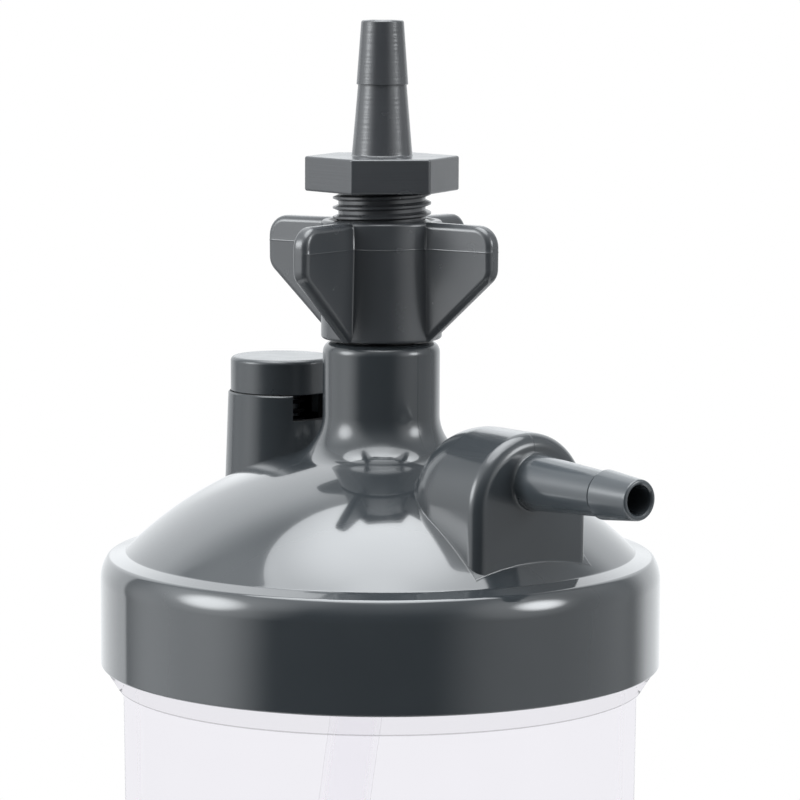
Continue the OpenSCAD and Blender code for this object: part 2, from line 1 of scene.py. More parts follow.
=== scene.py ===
# %% [markdown]
# # Dressing a humidifier bottle
# The CAD frame gives every piece its place. This lesson remodels the pieces that show, with
# the soft edges and smooth curves of moulded plastic, and gives each one a finish. The frame
# comes first, because all sizes and places are taken from it.

# %% Load the frame
import math
from functools import partial

import bpy
from mathutils import Matrix, Vector


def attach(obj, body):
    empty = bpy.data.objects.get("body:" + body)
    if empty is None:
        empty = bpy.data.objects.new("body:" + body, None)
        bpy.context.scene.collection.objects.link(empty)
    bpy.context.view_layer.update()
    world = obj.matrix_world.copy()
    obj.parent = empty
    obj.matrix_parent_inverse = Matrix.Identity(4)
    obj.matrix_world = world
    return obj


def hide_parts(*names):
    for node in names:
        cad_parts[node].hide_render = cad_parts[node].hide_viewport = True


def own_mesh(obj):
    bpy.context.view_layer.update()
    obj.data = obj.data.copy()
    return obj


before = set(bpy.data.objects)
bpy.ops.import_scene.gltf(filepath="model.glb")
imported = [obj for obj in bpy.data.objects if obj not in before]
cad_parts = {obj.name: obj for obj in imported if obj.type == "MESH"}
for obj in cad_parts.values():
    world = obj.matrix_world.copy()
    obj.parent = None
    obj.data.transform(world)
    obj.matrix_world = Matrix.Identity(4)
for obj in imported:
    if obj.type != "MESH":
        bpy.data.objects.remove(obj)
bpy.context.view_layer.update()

# %% [markdown]
# ## Tools for turned shapes
# Most of this object is turned: the cap, the nozzles and the bottle are outlines that go round
# an axis. An outline is drawn point by point with extrude, as one does by hand, and Spin turns
# it into a surface. Outlines are pairs of radius and height in millimetres, because that is
# how such a part is measured. Another way is the Screw modifier, which is kept for threads.

# %% Outlines and turning
MM = 0.001
WELD = 1e-7
UP = Vector((0, 0, 1))
SIDEWAYS = Vector((1, 0, 0))


def arc(middle, radius, start, end, steps):
    """Points along an arc in an outline, from one angle to another, in degrees."""
    angles = [math.radians(start + (end - start) * i / steps) for i in range(steps + 1)]
    return [(middle[0] + radius * math.cos(a), middle[1] + radius * math.sin(a)) for a in angles]


def heading(start, end):
    """Angle of the way from one point of an outline to another, in degrees."""
    return math.degrees(math.atan2(end[1] - start[1], end[0] - start[0]))


def start_afresh():
    """Leaves edit mode and deselects everything."""
    if bpy.context.object and bpy.context.object.mode != "OBJECT":
        bpy.ops.object.mode_set(mode="OBJECT")
    bpy.ops.object.select_all(action="DESELECT")


def draw(name, points):
    """A line of edges through points in millimetres. Leaves the new piece in edit mode."""
    start_afresh()
    bpy.ops.mesh.primitive_plane_add(size=MM)
    piece = bpy.context.object
    piece.name = piece.data.name = name
    bpy.ops.object.mode_set(mode="EDIT")
    bpy.ops.mesh.select_all(action="SELECT")
    bpy.ops.mesh.merge(type="CENTER")
    here = Vector((0, 0, 0))
    for number, point in enumerate(points):
        step = {"value": Vector(point) * MM - here}
        if number:
            bpy.ops.mesh.extrude_region_move(TRANSFORM_OT_translate=step)
        else:
            bpy.ops.transform.translate(**step)
        here = Vector(point) * MM
    return piece


def close_up():
    """Merges doubles, turns all faces outwards and leaves edit mode."""
    bpy.ops.mesh.select_all(action="SELECT")
    bpy.ops.mesh.remove_doubles(threshold=WELD)
    bpy.ops.mesh.normals_make_consistent(inside=False)
    bpy.ops.object.mode_set(mode="OBJECT")


def turn(name, outline, steps, foot=(0, 0, 0), axis=UP):
    """A closed solid: an outline of radius and height goes once round an axis through foot."""
    out = SIDEWAYS if axis is UP else UP
    piece = draw(name, [Vector(foot) + out * r + axis * h for r, h in outline])
    bpy.ops.mesh.select_all(action="SELECT")
    bpy.ops.mesh.spin(steps=steps, angle=2 * math.pi, center=Vector(foot) * MM, axis=axis)
    close_up()
    return piece


# %% [markdown]
# ## Tools for joining and finishing
# A moulded piece is one skin. Its forms are joined with the Boolean modifier, and the sharp
# line where two of them meet gets a narrow bevel, because a mould never leaves a knife edge
# and the thin line of light along such an edge is what tells the eye that it is plastic.

# %% Joining, cutting and softening
SEAM = 0.004


def take(piece):
    """Makes a piece the only one that is selected, and the active one."""
    start_afresh()
    piece.select_set(True)
    bpy.context.view_layer.objects.active = piece


def join(piece, *others, how="UNION"):
    """Joins other solids to a piece or cuts them from it, and uses them up."""
    for other in others:
        take(piece)
        change = piece.modifiers.new("join", "BOOLEAN")
        change.operation = how
        change.solver = "EXACT"
        change.object = other
        bpy.ops.object.modifier_apply(modifier=change.name)
        bpy.data.meshes.remove(other.data)
    return piece


def cut(piece, *others):
    return join(piece, *others, how="DIFFERENCE")


def tidy(piece):
    """Merges the crumbs that joining leaves along its seams."""
    take(piece)
    bpy.ops.object.mode_set(mode="EDIT")
    bpy.ops.mesh.select_all(action="SELECT")
    bpy.ops.mesh.remove_doubles(threshold=SEAM * MM)
    bpy.ops.mesh.dissolve_degenerate(threshold=SEAM * MM)
    bpy.ops.object.mode_set(mode="OBJECT")


def soften(piece, width=0, over=32, flat=True):
    """Bevels edges that turn by more than an angle, shades the rest smooth, keeps flats flat."""
    take(piece)
    if width:
        edge = piece.modifiers.new("edge", "BEVEL")
        edge.width = width * MM
        edge.segments = 2
        edge.limit_method = "ANGLE"
        edge.angle_limit = math.radians(over)
        edge.miter_outer = "MITER_ARC"
        bpy.ops.object.modifier_apply(modifier=edge.name)
    bpy.ops.object.shade_smooth_by_angle(angle=math.radians(over))
    if flat:
        even = piece.modifiers.new("even", "WEIGHTED_NORMAL")
        even.keep_sharp = True
        even.weight = 100
        bpy.ops.object.modifier_apply(modifier=even.name)
    print(piece.name, "has", len(piece.data.polygons), "faces")
    return piece


def dress(piece, body, slot, *nodes):
    """Puts a finished piece in the place of CAD nodes."""
    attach(piece, body)
    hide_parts(*nodes)


# %% [markdown]
# ## The cap
# The cap is one moulding: a skirt with a rounded rim, a dome, a neck that flares out of the
# dome, an arched housing with the outlet nozzle, and the tower of the relief valve. Its
# outside is turned as a solid first, the other forms are joined to it, and the hollow is cut
# out last, so the wall comes out even under all of them.

# %% The cap's turned body
CAP_Z = 125.0
RIM_R, RIM_W, RIM_FOOT, RIM_DROP = 40.75, 3.7, 0.3, 0.15
RIM_TOP, RIM_LEAN_Z, RIM_LEAN, RIM_LEAN_R, RIM_EDGE = CAP_Z + 16.4, CAP_Z + 12.5, 32, 5.5, 0.9
DOME_RISE, DOME_WALL, VALLEY_ROUND = 15.4, 2.3, 0.5
SKIRT_R, SEAT_Z, SEAT_R = 38.5, CAP_Z + 14.2, 34.7
NECK_R, NECK_H, NECK_EDGE, FLARE_R = 8.5, 15.2, 1.6, 6.5
STEM_HOLE, SPIGOT_HOLE, SHOULDER_T = 5.02, 2.77, 3.5

valley_r = RIM_R - RIM_W
dome_r = (valley_r**2 + DOME_RISE**2) / (2 * DOME_RISE)
peak_z = RIM_TOP + DOME_RISE
dome_mid = (0, peak_z - dome_r)
neck_top = peak_z + NECK_H
under_z = peak_z - DOME_WALL
shoulder_z = under_z + SHOULDER_T
flare_out = NECK_R + FLARE_R
flare_mid = (flare_out, dome_mid[1] + math.sqrt((dome_r + FLARE_R) ** 2 - flare_out**2))
flare_turn = heading(dome_mid, flare_mid)


def rim_outline():
    """The rim leans in, turns over a narrow edge and runs up a flat ring to the foot of the dome.

    Also gives the angle at which the dome goes on from there."""
    lean = math.radians(RIM_LEAN)
    lean_mid = (RIM_R - RIM_LEAN_R, RIM_LEAN_Z)
    inward = RIM_LEAN_R - RIM_EDGE
    edge_mid = (lean_mid[0] + inward * math.cos(lean), lean_mid[1] + inward * math.sin(lean))
    valley = (valley_r, RIM_TOP)
    slope = heading(valley, edge_mid)
    slope += math.degrees(math.asin(RIM_EDGE / math.dist(valley, edge_mid)))
    along = Vector((math.cos(math.radians(slope)), math.sin(math.radians(slope))))
    start = Vector(valley) - along.yx * Vector((1, -1)) * VALLEY_ROUND - Vector(dome_mid)
    step = start.dot(along)
    reach = math.sqrt(step**2 - start.length_squared + (dome_r + VALLEY_ROUND) ** 2) - step
    middle = start + along * reach + Vector(dome_mid)
    outline = arc(lean_mid, RIM_LEAN_R, 0, RIM_LEAN, 10)
    outline += arc(edge_mid, RIM_EDGE, RIM_LEAN, 90 + slope, 8)[1:]
    outline += arc(middle, VALLEY_ROUND, slope - 90, heading(middle, dome_mid), 5)
    return outline, heading(dome_mid, middle)


def cap_body():
    rim, dome_start = rim_outline()
    low = CAP_Z - RIM_DROP
    outline = [(0, low)] + arc((RIM_R - RIM_FOOT, low + RIM_FOOT), RIM_FOOT, -90, 0, 6)
    outline += rim
    outline += arc(dome_mid, dome_r, dome_start, flare_turn, 48)[1:]
    outline += arc(flare_mid, FLARE_R, 180 + flare_turn, 180, 16)[1:]
    outline += arc((NECK_R - NECK_EDGE, neck_top - NECK_EDGE), NECK_EDGE, 0, 90, 7)
    outline += [(0, neck_top)]
    return turn("cap_shell", outline, 256)


cap_shell = cap_body()
print("cap body", len(cap_shell.data.vertices), "points; dome radius", round(dome_r, 2), "mm")

# %% [markdown]
# The housing is an arch. Half an outline with a round back and a soft front edge is spun half
# way round the arch's axis, and the open rim that is left is pulled down into the dome. A
# bevelled box would do for the front, but the back is round in two directions.

# %% The outlet housing
FACE_X, ARCH_W, HOUSING_L, FACE_ROUND, HOUSING_WALL = 34.26, 10.35, 9.8, 2.0, 2.2
CROWN_RISE, OUTLET_DROP = 5.1, 6.7
crown_z = peak_z + CROWN_RISE
arch_z = crown_z - ARCH_W
outlet_z = crown_z - OUTLET_DROP
back_x = FACE_X - HOUSING_L


def arch(name, half_w, face, edge):
    """An arch from its round back to its face, with legs that reach down into the dome."""
    outline = arc((back_x, 0), half_w, 180, 90, 24)
    outline += arc((face - edge, half_w - edge), edge, 90, 0, 10) + [(face, 0)]
    piece = draw(name, [(x, y, arch_z) for x, y in outline])
    bpy.ops.mesh.select_all(action="SELECT")
    axis_at = Vector((0, 0, arch_z)) * MM
    bpy.ops.mesh.spin(steps=72, angle=-math.pi, center=axis_at, axis=SIDEWAYS)
    bpy.ops.mesh.select_all(action="SELECT")
    bpy.ops.mesh.remove_doubles(threshold=WELD)
    bpy.ops.mesh.select_all(action="DESELECT")
    bpy.ops.mesh.select_non_manifold()
    drop = {"value": (0, 0, (SEAT_Z - arch_z) * MM)}
    bpy.ops.mesh.extrude_region_move(TRANSFORM_OT_translate=drop)
    bpy.ops.mesh.edge_face_add()
    close_up()
    return piece


housing = arch("housing", ARCH_W, FACE_X, FACE_ROUND)
inner_w, inner_face = ARCH_W - HOUSING_WALL, FACE_X - HOUSING_WALL
housing_hollow = arch("housing_hollow", inner_w, inner_face, FACE_ROUND / 2)
print("housing", len(housing.data.polygons), "faces")

# %% [markdown]
# Both nozzles are drawn with the little things that a hose barb has: a foot where it leaves
# its base, a slow taper, a step with a fine groove behind it, and a rounded tip. One function
# draws both, because they differ in their sizes only.

# %% Outlines of nozzles and bores
BEYOND, PROUD = 1.0, 0.05
GROOVE_L, GROOVE_FLOOR, LAND_ROUND, TIP_ROUND, TIP_START = 0.5, 0.35, 0.12, 0.35, 12
OUTLET_L, OUTLET_BARB, OUTLET_GROOVE, OUTLET_FOOT, OUTLET_BORE = 21.7, 6.8, 0.2, 0.5, 2.12
OUTLET_ROOT, OUTLET_NECK, OUTLET_LAND, OUTLET_TIP = 3.95, 3.12, 3.45, 2.84
BORE_CHAMFER = 0.2


def nozzle_outline(radii, length, barb_l, groove, foot, foot_steps):
    """Outline of a nozzle along its axis, from below its base at 0 to its tip.

    The radii are those of its root, of its neck behind the step, of the step and of its tip."""
    root, neck, land, tip = radii
    step = length - barb_l
    outline = [(0, -BEYOND), (root + foot, -BEYOND), (root + foot, 0)]
    outline += arc((root + foot, foot), foot, -90, -180, foot_steps)
    deep = neck - groove
    outline += [(neck, step - GROOVE_L), (deep, step - GROOVE_FLOOR), (deep, step)]
    outline += arc((land - LAND_ROUND, step + LAND_ROUND), LAND_ROUND, -90, 0, 3)
    outline += arc((tip - TIP_ROUND, length - TIP_ROUND), TIP_ROUND, TIP_START, 90, 6)
    return outline + [(0, length)]


def bore_end(radius, end, chamfer):
    """The last points of a bore's outline: a chamfer that opens just past the end face."""
    return [(radius, end - chamfer), (radius + chamfer + PROUD, end + PROUD), (0, end + PROUD)]


outlet_at = (FACE_X, 0, outlet_z)
outlet_radii = (OUTLET_ROOT, OUTLET_NECK, OUTLET_LAND, OUTLET_TIP)
outlet_line = nozzle_outline(outlet_radii, OUTLET_L, OUTLET_BARB, OUTLET_GROOVE, OUTLET_FOOT, 5)
inner_end = -HOUSING_WALL - BEYOND
gas_line = [(0, inner_end), (OUTLET_BORE, inner_end)]
gas_line += bore_end(OUTLET_BORE, OUTLET_L, BORE_CHAMFER)
print("outlet outline has", len(outlet_line), "points")

# %% [markdown]
# The relief tower is a cup behind the neck, with a seat for the valve on its floor and a window
# towards the neck that lets the gas out. The window is a piece of a ring that is cut away, so
# its sides point to the tower's axis, as the mould's core leaves them.

# %% The relief tower and the hollows
TOWER_X, TOWER_R, TOWER_DRAFT, TOWER_BORE, TOWER_EDGE = 24.0, 8.1, 0.8, 6.1, 0.25
TOWER_RISE, TOWER_FLOOR = 5.7, 2.1
SEAT_BORE, SEAT_W, SEAT_RISE = 2.4, 1.0, 0.8
WINDOW_TURN, WINDOW_H = 51.0, 3.8
tower_top = peak_z + TOWER_RISE
tower_foot = (-TOWER_X, 0, 0)
under_rise = under_z - SEAT_Z
under_r = (SEAT_R**2 + under_rise**2) / (2 * under_rise)
under_mid = (0, under_z - under_r)
under_start = heading(under_mid, (SEAT_R, SEAT_Z))
tower_floor_z = under_mid[1] + math.sqrt(under_r**2 - (TOWER_X - TOWER_BORE) ** 2) + TOWER_FLOOR
seat_top = tower_floor_z + SEAT_RISE


def wedge(name, inner, outer, low, high):
    """A piece of a ring round the tower's axis, towards the neck."""
    half = math.radians(WINDOW_TURN / 2)
    way = Vector((math.cos(half), -math.sin(half), 0))
    corners = ((inner, low), (outer, low), (outer, high), (inner, high))
    piece = draw(name, [Vector(tower_foot) + way * r + UP * z for r, z in corners])
    bpy.ops.mesh.select_all(action="SELECT")
    bpy.ops.mesh.edge_face_add()
    bpy.ops.mesh.spin(steps=12, angle=-2 * half, center=Vector(tower_foot) * MM, axis=UP)
    close_up()
    return piece


tower_line = [(0, SEAT_Z), (TOWER_R + TOWER_DRAFT, SEAT_Z), (TOWER_R, tower_top - TOWER_EDGE),
              (TOWER_R - TOWER_EDGE, tower_top), (0, tower_top)]
hollow_line = [(0, CAP_Z - BEYOND), (SKIRT_R, CAP_Z - BEYOND), (SKIRT_R, SEAT_Z)]
hollow_line += arc(under_mid, under_r, under_start, 90, 32)
neck_line = [(0, under_z - BEYOND), (SPIGOT_HOLE, under_z - BEYOND), (SPIGOT_HOLE, shoulder_z),
             (STEM_HOLE, shoulder_z), (STEM_HOLE, neck_top + BEYOND), (0, neck_top + BEYOND)]
seat_out = SEAT_BORE + SEAT_W
chamber_line = [(0, SEAT_Z), (SEAT_BORE, SEAT_Z), (SEAT_BORE, seat_top), (seat_out, seat_top),
                (seat_out, tower_floor_z), (TOWER_BORE, tower_floor_z),
                (TOWER_BORE, tower_top + BEYOND), (0, tower_top + BEYOND)]
join(cap_shell, housing, turn("tower", tower_line, 128, tower_foot))
hollow = turn("hollow", hollow_line, 128)
neck_hole = turn("neck_hole", neck_line, 64)
chamber = turn("chamber", chamber_line, 64, tower_foot)
window = wedge("window", TOWER_BORE - BEYOND, TOWER_R + 2 * BEYOND,
               tower_top - WINDOW_H, tower_top + BEYOND)
cut(cap_shell, hollow, housing_hollow, neck_hole, chamber, window)
print("cap", len(cap_shell.data.polygons), "faces after joining")

# %% [markdown]
# ## Threads
# A thread is a ridge that climbs as it goes round. The Screw modifier sweeps the ridge's
# section up a helix. The first and last quarter turn fade into the wall, as they do on a
# moulded part. The ridge overlaps the wall, and joining makes one skin of both.

# %% Ridges that climb
FADE_TURNS, FADE_LOW = 0.25, 0.03


def wind(name, section, turns, climb, steps):
    """A section of radius and height, swept up a helix with open ends, in millimetres."""
    piece = draw(name, [(r, 0, z) for r, z in section])
    bpy.ops.mesh.select_all(action="SELECT")
    bpy.ops.mesh.edge_face_add()
    bpy.ops.mesh.delete(type="ONLY_FACE")
    bpy.ops.object.mode_set(mode="OBJECT")
    sweep = piece.modifiers.new("sweep", "SCREW")
    sweep.angle = 2 * math.pi * turns
    sweep.screw_offset = climb * MM
    sweep.steps = sweep.render_steps = steps
    bpy.ops.object.modifier_apply(modifier=sweep.name)
    return piece


def fill_ends():
    """Closes the two open ends of the swept piece that is active."""
    bpy.ops.object.mode_set(mode="EDIT")
    bpy.ops.mesh.select_all(action="DESELECT")
    bpy.ops.mesh.select_non_manifold()
    bpy.ops.mesh.fill_holes(sides=0)
    close_up()


def ridge(name, root, crest, root_w, crest_w, pitch, turns, low, steps=72):
    """A ridge from a root radius to a crest radius, in millimetres, starting at height low."""
    section = [(root, low - root_w / 2), (crest, low - crest_w / 2),
               (crest, low + crest_w / 2), (root, low + root_w / 2)]
    piece = wind(name, section, turns, pitch * turns, round(turns * steps))
    for point in piece.data.vertices:
        radius = math.hypot(point.co.x, point.co.y)
        around = math.atan2(point.co.y, point.co.x) / (2 * math.pi)
        climbed = (point.co.z / MM - low) / pitch
        turned = around + round(climbed - around)
        fade = min(turned, turns - turned) / FADE_TURNS
        rise = max(FADE_LOW, min(1, fade))
        reach = root * MM + (radius - root * MM) * rise
        point.co.x *= reach / radius
        point.co.y *= reach / radius
    fill_ends()
    return piece


CAP_PITCH, CAP_TURNS, CAP_RIDGE, CAP_RIDGE_GAP = 4.0, 1.25, 1.1, 0.5
CAP_RIDGE_Z, MOUTH_R = CAP_Z + 2.0, 36.9
RIDGE_ROOT, RIDGE_CREST = 0.45 * CAP_PITCH, 0.2 * CAP_PITCH
cap_ridge = ridge("cap_ridge", SKIRT_R + CAP_RIDGE_GAP, MOUTH_R + CAP_RIDGE_GAP,
                  RIDGE_ROOT, RIDGE_CREST, CAP_PITCH, CAP_TURNS, CAP_RIDGE_Z)
print("cap ridge", len(cap_ridge.data.polygons), "faces")

# %% [markdown]
# The cap's edges are softened before the nozzle is joined to it. The nozzle has its own rounds
# already, and a bevel over everything would eat its fine groove.

# %% The finished cap
CAP_BEVEL, FINE_TURN = 0.2, 20
join(cap_shell, cap_ridge)
tidy(cap_shell)
soften(cap_shell, CAP_BEVEL, flat=False)
gas_way = turn("gas_way", gas_line, 64, outlet_at, SIDEWAYS)
outlet = turn("outlet", outlet_line, 96, outlet_at, SIDEWAYS)
cut(join(cap_shell, outlet), gas_way)
tidy(cap_shell)
soften(cap_shell, over=FINE_TURN)
dress(cap_shell, "cap", "cap_plastic", "cap")

# %% [markdown]
# ## The wing nut
# The hub is turned. A wing is a plate with a rounded edge all round: its outline is filled,
# pulled out and inset in small steps that follow a quarter circle, which gives a truer edge
# than a bevel. Half a plate is made and mirrored. Cuts near its root let the plate swell into
# a fillet where it meets the hub, and it thins away from the mould's parting line.

# %% One wing of the nut
NUT_H, HUB_R, HUB_ROUND, LIP_T, LIP_R, NUT_BORE, NUT_GAP = 17.2, 8.75, 0.5, 2.5, 5.08, 7.28, 0.35
WING_R, WING_T, WING_ROUND, WING_TIP_H, WING_DROP, WING_TURN = 19.9, 2.75, 3.0, 7.3, 0.1, 15.7
WING_EDGE, EDGE_STEPS, WING_CORNER, WING_ROOT = 0.95, 6, 2.6, 7.45
THIN_UP, THIN_DOWN = 0.06, 0.2
FILLET, FILLET_LEAST, FILLET_CUTS = 0.35, 0.05, (8.94, 8.86, 8.78, 8.7, 8.64, 8.6)
PARTING, PART_RIDGE, PART_HALF_W, PART_NEAR, PART_DEEP = NUT_H - 3.8, 0.07, 0.12, 0.05, 0.2
nut_z = neck_top + NUT_GAP
nut_top = nut_z + NUT_H


def wing_outline():
    tip_top = NUT_H - WING_DROP
    tip_low = tip_top - WING_TIP_H
    slope = heading((HUB_R, 0), (WING_R, tip_low))
    bend = WING_CORNER * math.tan(math.radians(90 - slope) / 2)
    outline = [(WING_ROOT, 0), (HUB_R, 0)]
    outline += arc((WING_R - WING_CORNER, tip_low + bend), WING_CORNER, slope - 90, 0, 12)
    outline += arc((WING_R - WING_ROUND, tip_top - WING_ROUND), WING_ROUND, 0, 90, 10)
    return outline + [(HUB_R, NUT_H), (WING_ROOT, NUT_H)]


def half_plate():
    """Half a plate with a rounded edge, cut where it will swell and at its parting line."""
    piece = draw("wing", [(x, 0, nut_z + z) for x, z in wing_outline()])
    bpy.ops.mesh.select_all(action="SELECT")
    bpy.ops.mesh.edge_face_add()
    flat = WING_T / 2 - WING_EDGE
    bpy.ops.mesh.normals_make_consistent(inside=False)
    bpy.ops.mesh.extrude_region_move(TRANSFORM_OT_translate={"value": (0, flat * MM, 0)})
    turns = [math.radians(90 * i / EDGE_STEPS) for i in range(EDGE_STEPS + 1)]
    for a, b in zip(turns, turns[1:]):
        into = WING_EDGE * (math.cos(a) - math.cos(b)) * MM
        bpy.ops.mesh.inset(thickness=into, depth=0)
        rise = WING_EDGE * (math.sin(b) - math.sin(a)) * MM
        bpy.ops.transform.translate(value=(0, rise, 0))
    for x in FILLET_CUTS:
        bpy.ops.mesh.select_all(action="SELECT")
        bpy.ops.mesh.bisect(plane_co=(x * MM, 0, 0), plane_no=SIDEWAYS)
    for z in (PARTING - PART_HALF_W, PARTING, PARTING + PART_HALF_W):
        bpy.ops.mesh.select_all(action="SELECT")
        bpy.ops.mesh.bisect(plane_co=(0, 0, (nut_z + z) * MM), plane_no=UP)
    bpy.ops.object.mode_set(mode="OBJECT")
    return piece


def shape_plate(piece):
    """Thins a half plate away from the parting line, swells its root and raises the line."""
    half_t = WING_T / 2
    swell_mid = math.sqrt((HUB_R + FILLET) ** 2 - (half_t + FILLET) ** 2)
    for point in piece.data.vertices:
        x, z = point.co.x / MM, point.co.z / MM - nut_z
        thin = 1 - THIN_UP * max(0, z - PARTING) / (NUT_H - PARTING)
        thin -= THIN_DOWN * max(0, PARTING - z) / PARTING
        inward = FILLET**2 - max(0, swell_mid - x) ** 2
        swell = half_t + FILLET - math.sqrt(max(FILLET_LEAST, inward))
        on_line = abs(z - PARTING) < PART_NEAR and point.co.y > PART_DEEP * MM
        point.co.y = point.co.y * (thin + swell / half_t - 1) + on_line * PART_RIDGE * MM


def wing():
    piece = half_plate()
    shape_plate(piece)
    for face in piece.data.polygons:
        face.select = abs(face.center.y) < WELD
    bpy.ops.object.mode_set(mode="EDIT")
    bpy.ops.mesh.select_mode(type="FACE")
    bpy.ops.mesh.delete(type="FACE")
    bpy.ops.mesh.select_mode(type="VERT")
    bpy.ops.object.mode_set(mode="OBJECT")
    half = piece.modifiers.new("half", "MIRROR")
    half.use_axis = (False, True, False)
    half.merge_threshold = 0.001 * MM
    bpy.ops.object.modifier_apply(modifier=half.name)
    bpy.ops.object.mode_set(mode="EDIT")
    close_up()
    return piece


first_wing = wing()
print("wing", len(first_wing.data.polygons), "faces")

# %% [markdown]
# The wing is modelled once and copied round the hub. The nut's bore is cut after that, so no
# wing reaches into it, and the thread is joined to the bore's wall.

# %% The whole nut
WINGS, NUT_CHAMFER, NUT_TURNS = 4, 0.4, 6.25
FLANGE_GAP, FLANGE_T, WASHER_T = 0.25, 2.3, 1.2
THREAD_R, THREAD_RIDGE, THREAD_GAP, THREAD_PITCH = 7.1, 0.8, 0.18, 1.411
THREAD_ROOT, THREAD_CREST, THREAD_START = 0.78 * THREAD_PITCH, 0.2 * THREAD_PITCH, 0.5
washer_top = nut_z + LIP_T + FLANGE_GAP + FLANGE_T + WASHER_T
thread_z = washer_top + THREAD_START
line_z = nut_z + PARTING


def turned_copies(piece, count, first):
    """Copies of a piece round the upright axis, each with its own mesh. The piece is used up."""
    copies = []
    for i in range(count):
        take(piece)
        bpy.ops.object.duplicate()
        other = bpy.context.object
        other.data.transform(Matrix.Rotation(math.radians(first + 360 * i / count), 4, "Z"))
        copies.append(other)
    bpy.data.meshes.remove(piece.data)
    return copies


round_r = HUB_R - HUB_ROUND
hub_line = [(0, nut_z)] + arc((round_r, nut_z + HUB_ROUND), HUB_ROUND, -90, 0, 5)
hub_line += [(HUB_R, line_z - PART_HALF_W), (HUB_R + PART_RIDGE, line_z)]
hub_line += [(HUB_R, line_z + PART_HALF_W)]
hub_line += arc((round_r, nut_top - HUB_ROUND), HUB_ROUND, 0, 90, 5) + [(0, nut_top)]
hub = turn("nut_shell", hub_line, 160)
nut_shell = join(hub, *turned_copies(first_wing, WINGS, WING_TURN))
bore_line = [(0, nut_z - BEYOND), (LIP_R, nut_z - BEYOND), (LIP_R, nut_z + LIP_T)]
bore_line += [(NUT_BORE, nut_z + LIP_T)] + bore_end(NUT_BORE, nut_top, NUT_CHAMFER)
cut(nut_shell, turn("nut_hole", bore_line, 96))
join(nut_shell, ridge("nut_ridge", NUT_BORE + THREAD_GAP, THREAD_R - THREAD_RIDGE + THREAD_GAP,
                      THREAD_ROOT, THREAD_CREST, THREAD_PITCH, NUT_TURNS,
                      thread_z + THREAD_PITCH / 2))
tidy(nut_shell)
soften(nut_shell)
dress(nut_shell, "nut", "fitting_plastic", "wing_nut")

# %% [markdown]
# ## The hose adapter
# A hex for the spanner, a threaded shank below it and a barbed nozzle above it. The hex starts
# as a six-sided cylinder with narrow bevels, and the turned parts are joined to it. Cutting the
# hex from a round bar, as on a lathe, gives the same shape with more steps.

# %% The hose adapter
HEX_H, HEX_W, HEX_TURN, HEX_BEVEL, THREAD_SHOWN = 5.0, 19.5, -1.0, 0.32, 4.2
NOZZLE_L, NOZZLE_BARB, NOZZLE_GROOVE, NOZZLE_FOOT, NOZZLE_BORE = 19.45, 9.2, 0.03, 0.3, 2.05
NOZZLE_ROOT, NOZZLE_NECK, NOZZLE_LAND, NOZZLE_TIP = 4.35, 3.54, 3.72, 3.08
SHANK_TURNS, SHANK_CHAMFER, CUP_R, CUP_L = 9.6, 0.4, 2.7, 1.9
hex_z = nut_top + THREAD_SHOWN
hex_top = hex_z + HEX_H
nozzle_top = hex_top + NOZZLE_L
shank_r = THREAD_R - THREAD_RIDGE


def hex_block():
    start_afresh()
    corner_r = HEX_W / 2 / math.cos(math.pi / 6)
    bpy.ops.mesh.primitive_cylinder_add(vertices=6, radius=corner_r * MM, depth=HEX_H * MM)
    piece = bpy.context.object
    piece.name = piece.data.name = "adapter_shell"
    first = piece.data.vertices[0].co
    spin = Matrix.Rotation(math.radians(HEX_TURN) - math.atan2(first.y, first.x), 4, "Z")
    piece.data.transform(Matrix.Translation((0, 0, (hex_z + hex_top) / 2 * MM)) @ spin)
    bpy.ops.object.mode_set(mode="EDIT")
    bpy.ops.mesh.select_all(action="SELECT")
    bpy.ops.mesh.bevel(offset=HEX_BEVEL * MM, segments=3, affect="EDGES")
    close_up()
    return piece


shank_line = [(0, washer_top), (shank_r - SHANK_CHAMFER, washer_top),
              (shank_r, washer_top + SHANK_CHAMFER), (shank_r, hex_z + BEYOND), (0, hex_z + BEYOND)]
shank = turn("shank", shank_line, 128)
shank_ridge = ridge("shank_ridge", shank_r - THREAD_GAP, THREAD_R, THREAD_ROOT, THREAD_CREST,
                    THREAD_PITCH, SHANK_TURNS, thread_z + THREAD_PITCH, 96)
nozzle_radii = (NOZZLE_ROOT, NOZZLE_NECK, NOZZLE_LAND, NOZZLE_TIP)
nozzle_line = nozzle_outline(nozzle_radii, NOZZLE_L, NOZZLE_BARB, NOZZLE_GROOVE, NOZZLE_FOOT, 4)
nozzle = turn("nozzle", nozzle_line, 128, (0, 0, hex_top))
adapter_shell = join(hex_block(), shank, shank_ridge, nozzle)
cup_top = washer_top + CUP_L
hole_line = [(0, washer_top - BEYOND), (CUP_R, washer_top - BEYOND), (CUP_R, cup_top)]
hole_line += [(NOZZLE_BORE, cup_top)] + bore_end(NOZZLE_BORE, nozzle_top, BORE_CHAMFER)
cut(adapter_shell, turn("adapter_hole", hole_line, 64))
tidy(adapter_shell)
soften(adapter_shell)
dress(adapter_shell, "adapter", "fitting_plastic", "hose_adapter")

# %% [markdown]
# ## The bottle
# A clear, thin-walled moulding: a rounded foot, two level lines, a collar under the cap and a
# threaded mouth. It is one closed outline with an outer and an inner wall. Solidify could give
# a single wall its thickness, but here the wall has to thicken at the collar and the floor.
# The foot's inner edge is lifted a hair, as two faces in one plane would show a black ring.

